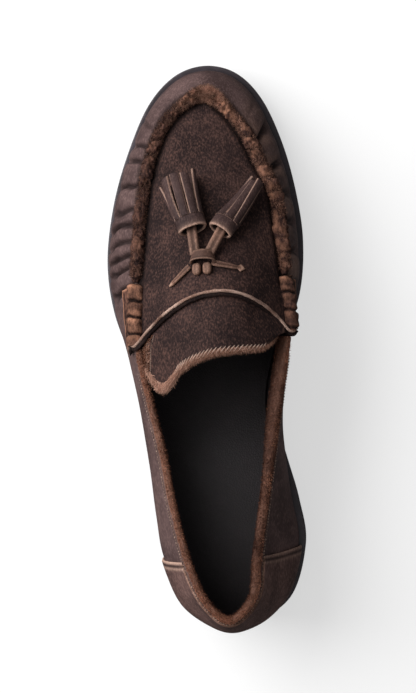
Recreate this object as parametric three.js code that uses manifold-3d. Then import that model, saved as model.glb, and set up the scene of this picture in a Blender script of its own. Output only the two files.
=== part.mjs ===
// A left tassel loafer with a moccasin seam, empty and standing on its sole, in millimetres.
// +Y runs from the heel to the toe, +X to the inner (medial) side, +Z up from the floor.
// It is built as a shoemaker has it: a plan outline for the sole, a feather line where the upper meets
// it, walls that rise from there to the seam of the apron and to the collar, and a crowned apron.
import * as THREE from "three";
import { mergeVertices } from "three/addons/utils/BufferGeometryUtils.js";
import Module from "manifold-3d";

const wasm = await Module();
wasm.setup();

// Overall sizes of the shoe.
const shoeLength = 266;
const ballWidth = 93.7;
const throatHeight = 64.5; // from the feather line to the top of the apron at its arched edge
const wallThickness = 2;
const clearance = 0.3; // between pieces that rest on each other

// Heights of the sole from the floor.
const heelSeatHeight = 26.5;
const forefootHeight = 10.5;
const toeSpring = 6.5;
const midsoleThickness = 3.2;
const heelSoleThickness = 7.5; // midsole and outsole together, over the heel block
const topLiftThickness = 5;
const archHeight = 2.4; // under the outsole, halfway along the waist

// Steps of the sole's side.
const rimWidth = 3; // what shows of the sole outside the upper, round the forefoot
const outsoleInset = 0.8;
const heelInset = 0.6;
const heelTaper = 2.4;
const breastSlope = 4;
const heelLength = 67;
const grooveWidth = 1.8;
const grooveDepth = 1;
const groovePitch = 9;
const grooveCount = 7;

// Insole and tongue.
const insoleThickness = 3;
const insoleGap = 1;
const tongueThickness = 2.2;
const tongueHidden = 0.9; // how many stations the tongue runs on under the apron
const tongueSpread = 0.9; // the share of the apron's width that the tongue takes there
const tuckedRows = 0.3; // the share of the tongue's rows that lie under the apron

// Raised seam, side rolls, wings, counter and collar trim. Stations count back from the seam's apex.
const seamRadius = 2.9;
const puckerPitch = 8;
const puckerShare = 0.22; // of the seam's radius
const rollRadius = 3.3;
const rollNotch = 0.9;
const rollPitch = 8;
const seamLift = 0.9;
const wingThickness = 1.7;
const wingFrontStation = 5.82;
const wingLowShare = 0.62; // how far up the wall a wing starts
const wingHighShare = 0.985;
const counterReach = 2; // stations from the back of the heel to the counter's front edges
const counterLowShare = 0.02;
const counterHighShare = 0.965;
const trimEndGap = 0.12; // stations between the trim's ends and the apron's arch
const counterThickness = 1.3;
const trimWidth = 3.4;
const trimHeight = 2.4;

// Tassels and their tie.
const stripThickness = 1.1;
const tasselFlatness = 0.72; // height of a tassel that lies flat, as a share of its width
const neckRadius = 2;
const tieWidth = 3;
const tieThickness = 1.4;
const wrapLength = 5.2;
const wrapWidth = 11.5;
const wrapThickness = 1.1;

// How finely the forms are divided.
const stepsPerStation = 3;
const wallLevels = 7;
const apronColumns = 10;

// The plan outline of the sole, from the toe tip back to the heel: x as a share of the ball width from
// the line between heel and toe, y of the length, and the rim outside the upper as a share of rimWidth.
const soleEdge = [
  { at: "toe tip", lx: 0.0, ly: 1.0, lrim: 1, mx: 0.0, my: 1.0, mrim: 1 },
  { at: "toe", lx: -0.16, ly: 0.985, lrim: 1, mx: 0.155, my: 0.983, mrim: 1 },
  { at: "toe corner", lx: -0.304, ly: 0.936, lrim: 1, mx: 0.277, my: 0.934, mrim: 1.05 },
  { at: "toes", lx: -0.423, ly: 0.853, lrim: 0.95, mx: 0.368, my: 0.853, mrim: 1.05 },
  { at: "ball front", lx: -0.51, ly: 0.763, lrim: 0.85, mx: 0.423, my: 0.763, mrim: 1 },
  { at: "ball", lx: -0.557, ly: 0.662, lrim: 0.75, mx: 0.443, my: 0.677, mrim: 0.9 },
  { at: "ball back", lx: -0.534, ly: 0.568, lrim: 0.65, mx: 0.411, my: 0.586, mrim: 0.6 },
  { at: "waist front", lx: -0.446, ly: 0.47, lrim: 0.45, mx: 0.304, my: 0.489, mrim: 0.35 },
  { at: "waist", lx: -0.388, ly: 0.372, lrim: 0.4, mx: 0.245, my: 0.391, mrim: 0.3 },
  { at: "waist back", lx: -0.357, ly: 0.29, lrim: 0.4, mx: 0.303, my: 0.302, mrim: 0.35 },
  { at: "heel front", lx: -0.342, ly: 0.21, lrim: 0.4, mx: 0.356, my: 0.223, mrim: 0.5 },
  { at: "heel", lx: -0.327, ly: 0.1355, lrim: 0.4, mx: 0.376, my: 0.142, mrim: 0.5 },
  { at: "heel corner", lx: -0.229, ly: 0.047, lrim: 0.4, mx: 0.274, my: 0.047, mrim: 0.45 },
  { at: "heel back", lx: 0.016, ly: 0.0075, lrim: 0.4, mx: 0.016, my: 0.0075, mrim: 0.4 },
];

// The top of the walls at the same stations: the seam round the apron as far as "waist front", where the
// apron's arched edge ends, and the collar from there to the heel. rise is a share of throatHeight.
const topLine = [
  { at: "seam apex", lx: 0.005, ly: 0.941, lrise: 0.365, mx: 0.005, my: 0.941, mrise: 0.365 },
  { at: "toe", lx: -0.101, ly: 0.926, lrise: 0.385, mx: 0.096, my: 0.914, mrise: 0.39 },
  { at: "toe corner", lx: -0.208, ly: 0.891, lrise: 0.44, mx: 0.187, my: 0.87, mrise: 0.445 },
  { at: "toes", lx: -0.283, ly: 0.833, lrise: 0.495, mx: 0.258, my: 0.812, mrise: 0.5 },
  { at: "ball front", lx: -0.333, ly: 0.759, lrise: 0.55, mx: 0.32, my: 0.759, mrise: 0.55 },
  { at: "ball", lx: -0.363, ly: 0.677, lrise: 0.605, mx: 0.342, my: 0.68, mrise: 0.605 },
  { at: "ball back", lx: -0.386, ly: 0.594, lrise: 0.66, mx: 0.354, my: 0.594, mrise: 0.66 },
  { at: "waist front", lx: -0.393, ly: 0.508, lrise: 0.695, mx: 0.361, my: 0.519, mrise: 0.695 },
  { at: "waist", lx: -0.363, ly: 0.429, lrise: 0.62, mx: 0.313, my: 0.425, mrise: 0.62 },
  { at: "waist back", lx: -0.307, ly: 0.323, lrise: 0.53, mx: 0.256, my: 0.323, mrise: 0.53 },
  { at: "heel front", lx: -0.267, ly: 0.2275, lrise: 0.53, mx: 0.205, my: 0.2275, mrise: 0.53 },
  { at: "heel", lx: -0.207, ly: 0.1355, lrise: 0.59, mx: 0.16, my: 0.139, mrise: 0.59 },
  { at: "heel corner", lx: -0.128, ly: 0.068, lrise: 0.67, mx: 0.126, my: 0.068, mrise: 0.67 },
  { at: "heel back", lx: -0.003, ly: 0.031, lrise: 0.705, mx: -0.003, my: 0.031, mrise: 0.705 },
];

// How the wall swells between the two. belly and lean push its lower and upper part out, as shares of the
// ball width; lift and drop are the heights of those parts, as shares of the wall's own height.
const wallSwell = [
  { at: "toe tip", lbelly: 0.02, llean: 0.055, mbelly: 0.02, mlean: 0.055, lift: 0.52, drop: 0.1 },
  { at: "toe", lbelly: 0.022, llean: 0.058, mbelly: 0.022, mlean: 0.058, lift: 0.52, drop: 0.1 },
  { at: "toe corner", lbelly: 0.025, llean: 0.06, mbelly: 0.022, mlean: 0.06, lift: 0.52, drop: 0.1 },
  { at: "toes", lbelly: 0.03, llean: 0.065, mbelly: 0.022, mlean: 0.06, lift: 0.5, drop: 0.12 },
  { at: "ball front", lbelly: 0.034, llean: 0.07, mbelly: 0.022, mlean: 0.05, lift: 0.5, drop: 0.12 },
  { at: "ball", lbelly: 0.036, llean: 0.072, mbelly: 0.02, mlean: 0.05, lift: 0.48, drop: 0.14 },
  { at: "ball back", lbelly: 0.034, llean: 0.06, mbelly: 0.02, mlean: 0.036, lift: 0.46, drop: 0.2 },
  { at: "waist front", lbelly: 0.046, llean: 0.046, mbelly: 0.03, mlean: 0.012, lift: 0.42, drop: 0.3 },
  { at: "waist", lbelly: 0.05, llean: 0.048, mbelly: 0.045, mlean: 0.02, lift: 0.38, drop: 0.34 },
  { at: "waist back", lbelly: 0.06, llean: 0.062, mbelly: 0.04, mlean: 0.045, lift: 0.36, drop: 0.36 },
  { at: "heel front", lbelly: 0.064, llean: 0.066, mbelly: 0.016, mlean: 0.07, lift: 0.34, drop: 0.38 },
  { at: "heel", lbelly: 0.05, llean: 0.06, mbelly: 0.006, mlean: 0.066, lift: 0.34, drop: 0.38 },
  { at: "heel corner", lbelly: 0.04, llean: 0.04, mbelly: 0.024, mlean: 0.048, lift: 0.34, drop: 0.38 },
  { at: "heel back", lbelly: 0.046, llean: 0.042, mbelly: 0.046, mlean: 0.042, lift: 0.34, drop: 0.38 },
];

// The middle of the apron, from the apex of the seam to its arched edge over the tongue.
const apronCrown = [
  { at: "seam apex", x: 0.005, y: 0.941, rise: 0.365 },
  { at: "toe", x: 0.0, y: 0.906, rise: 0.432 },
  { at: "toe corner", x: -0.002, y: 0.861, rise: 0.518 },
  { at: "toes", x: -0.004, y: 0.807, rise: 0.615 },
  { at: "ball front", x: -0.006, y: 0.749, rise: 0.715 },
  { at: "ball", x: -0.004, y: 0.693, rise: 0.815 },
  { at: "ball back", x: 0.002, y: 0.641, rise: 0.91 },
  { at: "arched edge", x: 0.012, y: 0.592, rise: 1.0 },
];

// The free edge of the tongue, from its lateral side to its medial side: the lateral corner hangs lower.
const tongueEdge = [
  { across: -1.0, x: -0.322, y: 0.468, rise: 0.745 },
  { across: -0.7, x: -0.262, y: 0.43, rise: 0.78 },
  { across: -0.4, x: -0.166, y: 0.462, rise: 0.93 },
  { across: -0.05, x: -0.03, y: 0.482, rise: 1.035 },
  { across: 0.35, x: 0.122, y: 0.487, rise: 1.02 },
  { across: 0.7, x: 0.236, y: 0.49, rise: 0.915 },
  { across: 1.0, x: 0.3, y: 0.51, rise: 0.79 },
];

// The side profile of the sole: the feather line and the outsole's underside, between their named heights.
const sideProfile = [
  { at: 0.0, feather: 1.0, under: 1.0 },
  { at: 0.12, feather: 0.97, under: 0.96 },
  { at: 0.25, feather: 0.875, under: 0.82 },
  { at: 0.38, feather: 0.53, under: 0.4 },
  { at: 0.48, feather: 0.24, under: 0.1 },
  { at: 0.56, feather: 0.06, under: 0.0 },
  { at: 0.7, feather: 0.0, under: 0.0 },
  { at: 0.78, feather: 0.0, under: 0.0 },
];
const toeProfile = [
  { at: 0.78, feather: 0.0, under: 0.0 },
  { at: 0.88, feather: 0.2, under: 0.22 },
  { at: 1.0, feather: 1.0, under: 1.12 },
];

// Each tassel: the middle of its ring and of its fringe's end as shares of the ball width and the length,
// its widths there and where its neck enters the wrap as shares of the ball width, and its strips.
const tassels = [
  {
    name: "tassel_lateral",
    ring: [-0.07, 0.691],
    end: [-0.145, 0.784],
    width: 0.141,
    flare: 0.181,
    neck: -0.032,
    strips: 9,
  },
  {
    name: "tassel_medial",
    ring: [0.043, 0.686],
    end: [0.226, 0.769],
    width: 0.124,
    flare: 0.09,
    neck: 0.028,
    strips: 8,
  },
];
const capDepth = 6.5;
const capBacking = 2; // how far the cap runs on inside the fringe
const capWall = 1.2;
const capTaper = 0.8; // how much narrower the cap's hollow is at its bottom
const tasselLift = 0.35;
const stripOverlap = 0.86; // a strip's width as a share of its place round the cap
const stripStagger = 0.9; // the strips end by turns this much shorter

// The wrap of the tie on the apron, and the ends that spread from it.
const tieCentre = [-0.036, 0.6475];
const tieGap = 1.1; // from the wrap to the necks' ends
const tiePointShare = 0.3; // the share of a tie end that narrows to its point
const wrapSlack = 1.2; // how much higher the wrap's arch is than the necks
const tieEnds = [
  { name: "tie_end_lateral", from: [-0.1, 0.6345], to: [-0.2, 0.603] },
  { name: "tie_end_medial", from: [0.046, 0.637], to: [0.157, 0.6255] },
];
const tieLoops = [
  { name: "tie_loop_lateral", at: [-0.066, 0.6245] },
  { name: "tie_loop_medial", at: [-0.016, 0.6245] },
];
const loopLength = 6;
const loopWidth = 3.6;
const loopThickness = 2.4;

const rubberBlack = { color: 0x17161a, roughness: 0.62, metalness: 0 };
const suedeBrown = { color: 0x3a2721, roughness: 0.92, metalness: 0 };
const rawEdgeTan = { color: 0x8a5d3f, roughness: 0.9, metalness: 0 };
const sockBlack = { color: 0x121013, roughness: 0.55, metalness: 0 };

// Interpolation.

// A uniform Catmull-Rom value between four neighbours.
function catmull(a, b, c, d, t) {
  const slopeIn = (c - a) / 2;
  const slopeOut = (d - b) / 2;
  const t2 = t * t;
  const t3 = t2 * t;
  const ends = (2 * t3 - 3 * t2 + 1) * b + (3 * t2 - 2 * t3) * c;
  return ends + (t3 - 2 * t2 + t) * slopeIn + (t3 - t2) * slopeOut;
}

// The rows of a table joined into one ring: heel back, lateral side, toe, medial side. Stations count from 0.
const stationCount = soleEdge.length - 1;
const ringSize = 2 * stationCount;

function ringValue(table, name, u) {
  const value = (index) => {
    const i = ((index % ringSize) + ringSize) % ringSize;
    const lateral = i <= stationCount;
    const row = table[lateral ? stationCount - i : i - stationCount];
    return row[name] ?? row[(lateral ? "l" : "m") + name];
  };
  const i = Math.floor(u);
  return catmull(value(i - 1), value(i), value(i + 1), value(i + 2), u - i);
}

// A value along an open table by its row number.
function rowValue(table, name, k) {
  const last = table.length - 1;
  const i = Math.min(Math.max(Math.floor(k), 0), last - 1);
  const b = table[i][name];
  const c = table[i + 1][name];
  const a = i > 0 ? table[i - 1][name] : 2 * b - c;
  const d = i + 2 <= last ? table[i + 2][name] : 2 * c - b;
  return catmull(a, b, c, d, k - i);
}

// A monotone cubic through an open table's rows, by the column "at": it never swings past a row.
function profileValue(table, name, at) {
  const x = table.map((row) => row.at);
  const y = table.map((row) => row[name]);
  const last = x.length - 1;
  if (at <= x[0]) return y[0];
  if (at >= x[last]) return y[last];
  const slope = (i) => (y[i + 1] - y[i]) / (x[i + 1] - x[i]);
  const tangent = (i) => {
    if (i === 0) return slope(0);
    if (i === last) return slope(last - 1);
    const before = slope(i - 1);
    const after = slope(i);
    return before * after <= 0 ? 0 : (2 * before * after) / (before + after);
  };
  const i = x.findIndex((value) => value > at) - 1;
  const h = x[i + 1] - x[i];
  const t = (at - x[i]) / h;
  const t2 = t * t;
  const t3 = t2 * t;
  return (
    (2 * t3 - 3 * t2 + 1) * y[i] +
    (t3 - 2 * t2 + t) * h * tangent(i) +
    (3 * t2 - 2 * t3) * y[i + 1] +
    (t3 - t2) * h * tangent(i + 1)
  );
}

// The sole's heights along the shoe.

const toeStart = toeProfile[0].at;
const ballStart = sideProfile.find((row) => row.under === 0).at;

// The feather line: the top of the midsole, on which the upper stands.
function featherHeight(y) {
  const at = y / shoeLength;
  if (at > toeStart) return forefootHeight + toeSpring * profileValue(toeProfile, "feather", at);
  return forefootHeight + (heelSeatHeight - forefootHeight) * profileValue(sideProfile, "feather", at);
}

// The underside of the outsole: flat on the floor under the ball, up over the waist to the heel block.
function underHeight(y) {
  const at = y / shoeLength;
  if (at > toeStart) return toeSpring * profileValue(toeProfile, "under", at);
  const alongWaist = THREE.MathUtils.smoothstep(at, heelLength / shoeLength, ballStart);
  const arch = (archHeight / 2) * Math.sin(Math.PI * alongWaist);
  return (heelSeatHeight - heelSoleThickness) * profileValue(sideProfile, "under", at) + arch;
}

// The outline, the feather line and the walls.

function edgePoint(u) {
  return new THREE.Vector2(
    ringValue(soleEdge, "x", u) * ballWidth,
    ringValue(soleEdge, "y", u) * shoeLength,
  );
}

// The direction square to the outline, pointing out of the shoe.
function outward(u) {
  const step = 0.02;
  const along = edgePoint(u + step).sub(edgePoint(u - step));
  return new THREE.Vector2(-along.y, along.x).normalize();
}

function insetPoint(u, inset) {
  return edgePoint(u).addScaledVector(outward(u), -inset);
}

function featherPoint(u) {
  const plan = insetPoint(u, rimWidth * ringValue(soleEdge, "rim", u));
  return new THREE.Vector3(plan.x, plan.y, featherHeight(plan.y) + clearance);
}

function topPoint(u) {
  const y = ringValue(topLine, "y", u) * shoeLength;
  return new THREE.Vector3(
    ringValue(topLine, "x", u) * ballWidth,
    y,
    featherHeight(y) + ringValue(topLine, "rise", u) * throatHeight,
  );
}

// The wall at ring position u, from the feather line at v 0 to the top line at v 1.
function wallPoint(u, v) {
  const out = outward(u);
  const foot = featherPoint(u);
  const top = topPoint(u);
  const height = top.z - foot.z;
  const belly = ringValue(wallSwell, "belly", u) * ballWidth;
  const lean = ringValue(wallSwell, "lean", u) * ballWidth;
  const lower = new THREE.Vector3(
    foot.x + out.x * belly,
    foot.y + out.y * belly,
    foot.z + height * ringValue(wallSwell, "lift", u),
  );
  const upper = new THREE.Vector3(
    top.x + out.x * lean,
    top.y + out.y * lean,
    top.z - height * ringValue(wallSwell, "drop", u),
  );
  return new THREE.CubicBezierCurve3(foot, lower, upper, top).getPoint(v);
}

// The wall's outward normal.
function wallNormal(u, v) {
  const step = 0.03;
  const low = Math.max(v - step, 0);
  const high = Math.min(v + step, 1);
  const along = wallPoint(u + step, v).sub(wallPoint(u - step, v));
  const up = wallPoint(u, high).sub(wallPoint(u, low));
  return up.cross(along).normalize();
}

function wallOffset(u, v, distance) {
  return wallPoint(u, v).addScaledVector(wallNormal(u, v), distance);
}

// The apron.

const archStation = apronCrown.length - 1;

// The apron at station k back from the seam's apex and at s from -1 on the lateral seam to 1 on the medial.
function apronPoint(k, s) {
  const lateral = topPoint(stationCount - k);
  const medial = topPoint(stationCount + k);
  const y = rowValue(apronCrown, "y", k) * shoeLength;
  const crown = new THREE.Vector3(
    rowValue(apronCrown, "x", k) * ballWidth,
    y,
    featherHeight(y) + rowValue(apronCrown, "rise", k) * throatHeight,
  );
  const level = lateral.clone().lerp(medial, 0.5);
  const point = lateral.lerp(medial, (s + 1) / 2);
  return point.addScaledVector(crown.sub(level), 1 - Math.abs(s) ** 2.1);
}

function apronNormal(k, s) {
  const step = 0.04;
  const back = Math.min(k + step, archStation);
  const front = Math.max(k - step, step);
  const across = apronPoint(k, Math.min(s + step, 1)).sub(apronPoint(k, Math.max(s - step, -1)));
  const along = apronPoint(front, s).sub(apronPoint(back, s));
  return across.cross(along).normalize();
}

// The highest point of the apron's middle line at a place given in shares of the ball width and the length.
function onApron(x, y) {
  let best = null;
  let least = Infinity;
  const wanted = new THREE.Vector2(x * ballWidth, y * shoeLength);
  for (let k = 0.2; k <= archStation; k += 0.1) {
    for (let s = -0.95; s <= 0.95; s += 0.05) {
      const point = apronPoint(k, s);
      const miss = Math.hypot(point.x - wanted.x, point.y - wanted.y);
      if (miss < least) {
        least = miss;
        best = { k, s };
      }
    }
  }
  const point = apronPoint(best.k, best.s);
  const normal = apronNormal(best.k, best.s);
  const dx = wanted.x - point.x;
  const dy = wanted.y - point.y;
  point.set(wanted.x, wanted.y, point.z - (normal.x * dx + normal.y * dy) / normal.z);
  return { point, normal };
}

// Making closed solids.

// A closed mesh from vertices and faces, turned so that its faces point out.
function closedGeometry(vertices, faces) {
  const geometry = new THREE.BufferGeometry();
  let volume = 0; // six times the volume, negative when the faces point in
  for (const [a, b, c] of faces) {
    volume += vertices[a].dot(vertices[b].clone().cross(vertices[c]));
  }
  const index = faces.flatMap(([a, b, c]) => (volume < 0 ? [a, c, b] : [a, b, c]));
  const positions = new Float32Array(vertices.flatMap((p) => [p.x, p.y, p.z]));
  geometry.setAttribute("position", new THREE.BufferAttribute(positions, 3));
  geometry.setIndex(index);
  return geometry;
}

function toSolid(geometry) {
  const bare = geometry.clone();
  bare.deleteAttribute("normal");
  bare.deleteAttribute("uv");
  const merged = mergeVertices(bare, 1e-4);
  return new wasm.Manifold(
    new wasm.Mesh({
      numProp: 3,
      vertProperties: merged.attributes.position.array,
      triVerts: new Uint32Array(merged.index.array),
    }),
  );
}

function toGeometry(solid) {
  const mesh = solid.getMesh();
  const geometry = new THREE.BufferGeometry();
  geometry.setAttribute("position", new THREE.BufferAttribute(new Float32Array(mesh.vertProperties), 3));
  geometry.setIndex(new THREE.BufferAttribute(new Uint32Array(mesh.triVerts), 1));
  return geometry;
}

// Two triangles for the cell between rows of indices, wound the same way everywhere.
function cell(a, b, c, d) {
  return [
    [a, b, c],
    [a, c, d],
  ];
}

// A solid through rings of points, each ring closed on itself, with a flat cap on both ends.
function loft(rings) {
  const vertices = rings.flat();
  const n = rings[0].length;
  const faces = [];
  for (let i = 0; i + 1 < rings.length; i++) {
    for (let j = 0; j < n; j++) {
      const next = (j + 1) % n;
      faces.push(...cell(i * n + j, i * n + next, (i + 1) * n + next, (i + 1) * n + j));
    }
  }
  for (const [ring, reversed] of [[0, true], [rings.length - 1, false]]) {
    const middle = vertices.length;
    const centre = new THREE.Vector3();
    rings[ring].forEach((p) => centre.addScaledVector(p, 1 / n));
    vertices.push(centre);
    for (let j = 0; j < n; j++) {
      const a = ring * n + j;
      const b = ring * n + ((j + 1) % n);
      faces.push(reversed ? [b, a, middle] : [a, b, middle]);
    }
  }
  return closedGeometry(vertices, faces);
}

// A sheet with thickness: front(i, j) and back(i, j) are its two faces over a grid of rows and columns.
function sheet(rows, columns, front, back) {
  const vertices = [];
  for (const side of [front, back]) {
    for (let i = 0; i <= rows; i++) {
      for (let j = 0; j <= columns; j++) vertices.push(side(i / rows, j / columns));
    }
  }
  const size = (rows + 1) * (columns + 1);
  const at = (i, j) => i * (columns + 1) + j;
  const faces = [];
  for (let i = 0; i < rows; i++) {
    for (let j = 0; j < columns; j++) {
      faces.push(...cell(at(i, j), at(i, j + 1), at(i + 1, j + 1), at(i + 1, j)));
      faces.push(...cell(size + at(i, j), size + at(i + 1, j), size + at(i + 1, j + 1), size + at(i, j + 1)));
    }
  }
  const border = [];
  for (let j = 0; j < columns; j++) border.push(at(0, j));
  for (let i = 0; i < rows; i++) border.push(at(i, columns));
  for (let j = columns; j > 0; j--) border.push(at(rows, j));
  for (let i = rows; i > 0; i--) border.push(at(i, 0));
  border.forEach((a, n) => {
    const b = border[(n + 1) % border.length];
    faces.push(...cell(b, a, size + a, size + b));
  });
  return closedGeometry(vertices, faces);
}

// The sole, heel and insole.

const outlineSteps = ringSize * 4;

// A column with the shoe's outline, its inset growing from the low end to the high end.
function outlineColumn(lowInset, highInset, low, high) {
  const ringAt = (inset, z) =>
    Array.from({ length: outlineSteps }, (_, i) => {
      const plan = insetPoint((i * ringSize) / outlineSteps, inset);
      return new THREE.Vector3(plan.x, plan.y, z);
    });
  return toSolid(loft([ringAt(lowInset, low), ringAt(highInset, high)]));
}

// A prism right across the shoe from a side outline, given as places along the shoe and heights.
function acrossShoe(outline) {
  const shape = new THREE.Shape(outline.map(([y, z]) => new THREE.Vector2(y, z)));
  const prism = new THREE.ExtrudeGeometry(shape, { depth: 2 * ballWidth, bevelEnabled: false });
  prism.applyMatrix4(new THREE.Matrix4().set(0, 0, 1, -ballWidth, 1, 0, 0, 0, 0, 1, 0, 0, 0, 0, 0, 1));
  return toSolid(prism);
}

// A slab right across the shoe between two heights that follow its length, from one place to another.
function profileSlab(lowAt, highAt, from, to, steps) {
  const points = [];
  for (let i = 0; i <= steps; i++) {
    const y = from + ((to - from) * i) / steps;
    points.push([y, lowAt(y)]);
  }
  for (let i = steps; i >= 0; i--) {
    const y = from + ((to - from) * i) / steps;
    points.push([y, highAt(y)]);
  }
  return acrossShoe(points);
}

const beyond = 10; // how far a cutter runs past what it cuts
const profileSteps = 34;
const highest = heelSeatHeight + throatHeight;

function midsoleGeometry() {
  const column = outlineColumn(0, 0, -beyond, highest);
  const slab = profileSlab(
    (y) => featherHeight(y) - midsoleThickness,
    featherHeight,
    -beyond,
    shoeLength + beyond,
    profileSteps,
  );
  return toGeometry(column.intersect(slab));
}

function outsoleGeometry() {
  const column = outlineColumn(outsoleInset, outsoleInset, -beyond, highest);
  const slab = profileSlab(
    underHeight,
    (y) => featherHeight(y) - midsoleThickness - clearance,
    -beyond,
    shoeLength + beyond,
    profileSteps,
  );
  let solid = column.intersect(slab);
  const first = ballStart * shoeLength + grooveWidth;
  for (let i = 0; i < grooveCount; i++) {
    const groove = new THREE.BoxGeometry(2 * ballWidth, grooveWidth, 2 * grooveDepth);
    groove.translate(0, first + i * groovePitch, 0);
    solid = solid.subtract(toSolid(groove));
  }
  return toGeometry(solid);
}

// The block under the heel seat, between two heights: its front face slopes back towards the floor.
function heelPart(low, highAt) {
  const height = heelSeatHeight - heelSoleThickness;
  const inset = outsoleInset + heelInset;
  const column = outlineColumn(inset + heelTaper, inset, -clearance, height + clearance);
  const slab = profileSlab(() => low, highAt, -beyond, heelLength + beyond, profileSteps / 2);
  const slope = breastSlope / height;
  const breast = acrossShoe([
    [-beyond, -beyond],
    [heelLength - breastSlope - slope * beyond, -beyond],
    [heelLength + slope * beyond, height + beyond],
    [-beyond, height + beyond],
  ]);
  return toGeometry(column.intersect(slab).intersect(breast));
}

function insoleGeometry() {
  const ringAt = (lift) =>
    Array.from({ length: ringSize * stepsPerStation }, (_, i) => {
      const u = i / stepsPerStation;
      const inset = rimWidth * ringValue(soleEdge, "rim", u) + wallThickness + insoleGap;
      const plan = insetPoint(u, inset);
      return new THREE.Vector3(plan.x, plan.y, lift);
    });
  const column = toSolid(loft([ringAt(-beyond), ringAt(highest)]));
  const slab = profileSlab(
    (y) => featherHeight(y) + clearance,
    (y) => featherHeight(y) + clearance + insoleThickness,
    -beyond,
    shoeLength + beyond,
    profileSteps,
  );
  return toGeometry(column.intersect(slab));
}

// The upper.

// The outer face of the upper as shared vertices and faces: walls all round, and the apron between the seams.
// With a lid it also runs on across the collar's opening, back to the heel.
function upperSkin(withLid) {
  const around = ringSize * stepsPerStation;
  const vertices = [];
  const faces = [];
  const wallIndex = (i, level) => ((i + around) % around) * (wallLevels + 1) + level;
  for (let i = 0; i < around; i++) {
    for (let level = 0; level <= wallLevels; level++) {
      vertices.push(wallPoint(i / stepsPerStation, level / wallLevels));
    }
  }
  for (let i = 0; i < around; i++) {
    for (let level = 0; level < wallLevels; level++) {
      faces.push(
        ...cell(
          wallIndex(i, level),
          wallIndex(i, level + 1),
          wallIndex(i + 1, level + 1),
          wallIndex(i + 1, level),
        ),
      );
    }
  }
  const toe = stationCount * stepsPerStation;
  const lastRow = (withLid ? stationCount : archStation) * stepsPerStation;
  const archRow = archStation * stepsPerStation;
  const apronIndex = [];
  for (let row = 0; row <= lastRow; row++) {
    const k = row / stepsPerStation;
    const indices = [];
    for (let column = 0; column <= apronColumns; column++) {
      const lateral = wallIndex(toe - row, wallLevels);
      const medial = wallIndex(toe + row, wallLevels);
      if (row === 0 || row === stationCount * stepsPerStation || column === 0) indices.push(lateral);
      else if (column === apronColumns) indices.push(medial);
      else {
        const s = (2 * column) / apronColumns - 1;
        indices.push(vertices.length);
        if (row <= archRow) vertices.push(apronPoint(k, s));
        else vertices.push(vertices[lateral].clone().lerp(vertices[medial], (s + 1) / 2));
      }
    }
    apronIndex.push(indices);
  }
  for (let row = 0; row < lastRow; row++) {
    for (let column = 0; column < apronColumns; column++) {
      const a = apronIndex[row][column];
      const b = apronIndex[row][column + 1];
      const c = apronIndex[row + 1][column + 1];
      const d = apronIndex[row + 1][column];
      for (const face of [[a, c, b], [a, d, c]]) {
        if (new Set(face).size === 3) faces.push(face);
      }
    }
  }
  return { vertices, faces, wallIndex, apronIndex, around };
}

// Unit normals of a skin, averaged over the faces that meet at each vertex.
function skinNormals({ vertices, faces }) {
  const normals = vertices.map(() => new THREE.Vector3());
  for (const [a, b, c] of faces) {
    const across = vertices[b].clone().sub(vertices[a]);
    const normal = across.cross(vertices[c].clone().sub(vertices[a]));
    for (const i of [a, b, c]) normals[i].add(normal);
  }
  normals.forEach((n) => n.normalize());
  const heelPointsIn = normals[0].y > 0;
  if (heelPointsIn) normals.forEach((n) => n.negate());
  return normals;
}

function upperGeometry() {
  const skin = upperSkin(false);
  const normals = skinNormals(skin);
  const count = skin.vertices.length;
  const inner = skin.vertices.map((p, i) => p.clone().addScaledVector(normals[i], -wallThickness));
  for (let i = 0; i < skin.around; i++) {
    const foot = skin.wallIndex(i, 0);
    inner[foot].z = skin.vertices[foot].z;
  }
  const vertices = [...skin.vertices, ...inner];
  const faces = [...skin.faces, ...skin.faces.map(([a, b, c]) => [count + a, count + c, count + b])];
  const uses = new Map();
  for (const [a, b, c] of skin.faces) {
    for (const [from, to] of [[a, b], [b, c], [c, a]]) uses.set(`${from},${to}`, [from, to]);
  }
  for (const [from, to] of uses.values()) {
    if (uses.has(`${to},${from}`)) continue;
    faces.push([to, from, count + from], [to, count + from, count + to]);
  }
  return closedGeometry(vertices, faces);
}

// A closed body whose side and top are the upper's outer face moved out by a distance.
function upperForm(distance) {
  const open = upperSkin(false);
  const normals = skinNormals(open);
  const skin = upperSkin(true);
  const moved = skin.vertices.map((p, i) =>
    i < normals.length ? p.clone().addScaledVector(normals[i], distance) : p,
  );
  const faces = [...skin.faces];
  const middle = moved.length;
  moved.push(new THREE.Vector3(0, shoeLength / 2, -beyond));
  for (let i = 0; i < skin.around; i++) {
    const a = moved.length;
    const foot = moved[skin.wallIndex(i, 0)];
    moved.push(new THREE.Vector3(foot.x, foot.y, -beyond));
    const b = i + 1 < skin.around ? a + 1 : middle + 1;
    const low = skin.wallIndex(i, 0);
    faces.push([low, skin.wallIndex(i + 1, 0), b], [low, b, a], [a, b, middle]);
  }
  return toSolid(closedGeometry(moved, faces));
}

// The raised seam, the wings with their rolls, the counter and the collar trim.

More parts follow.
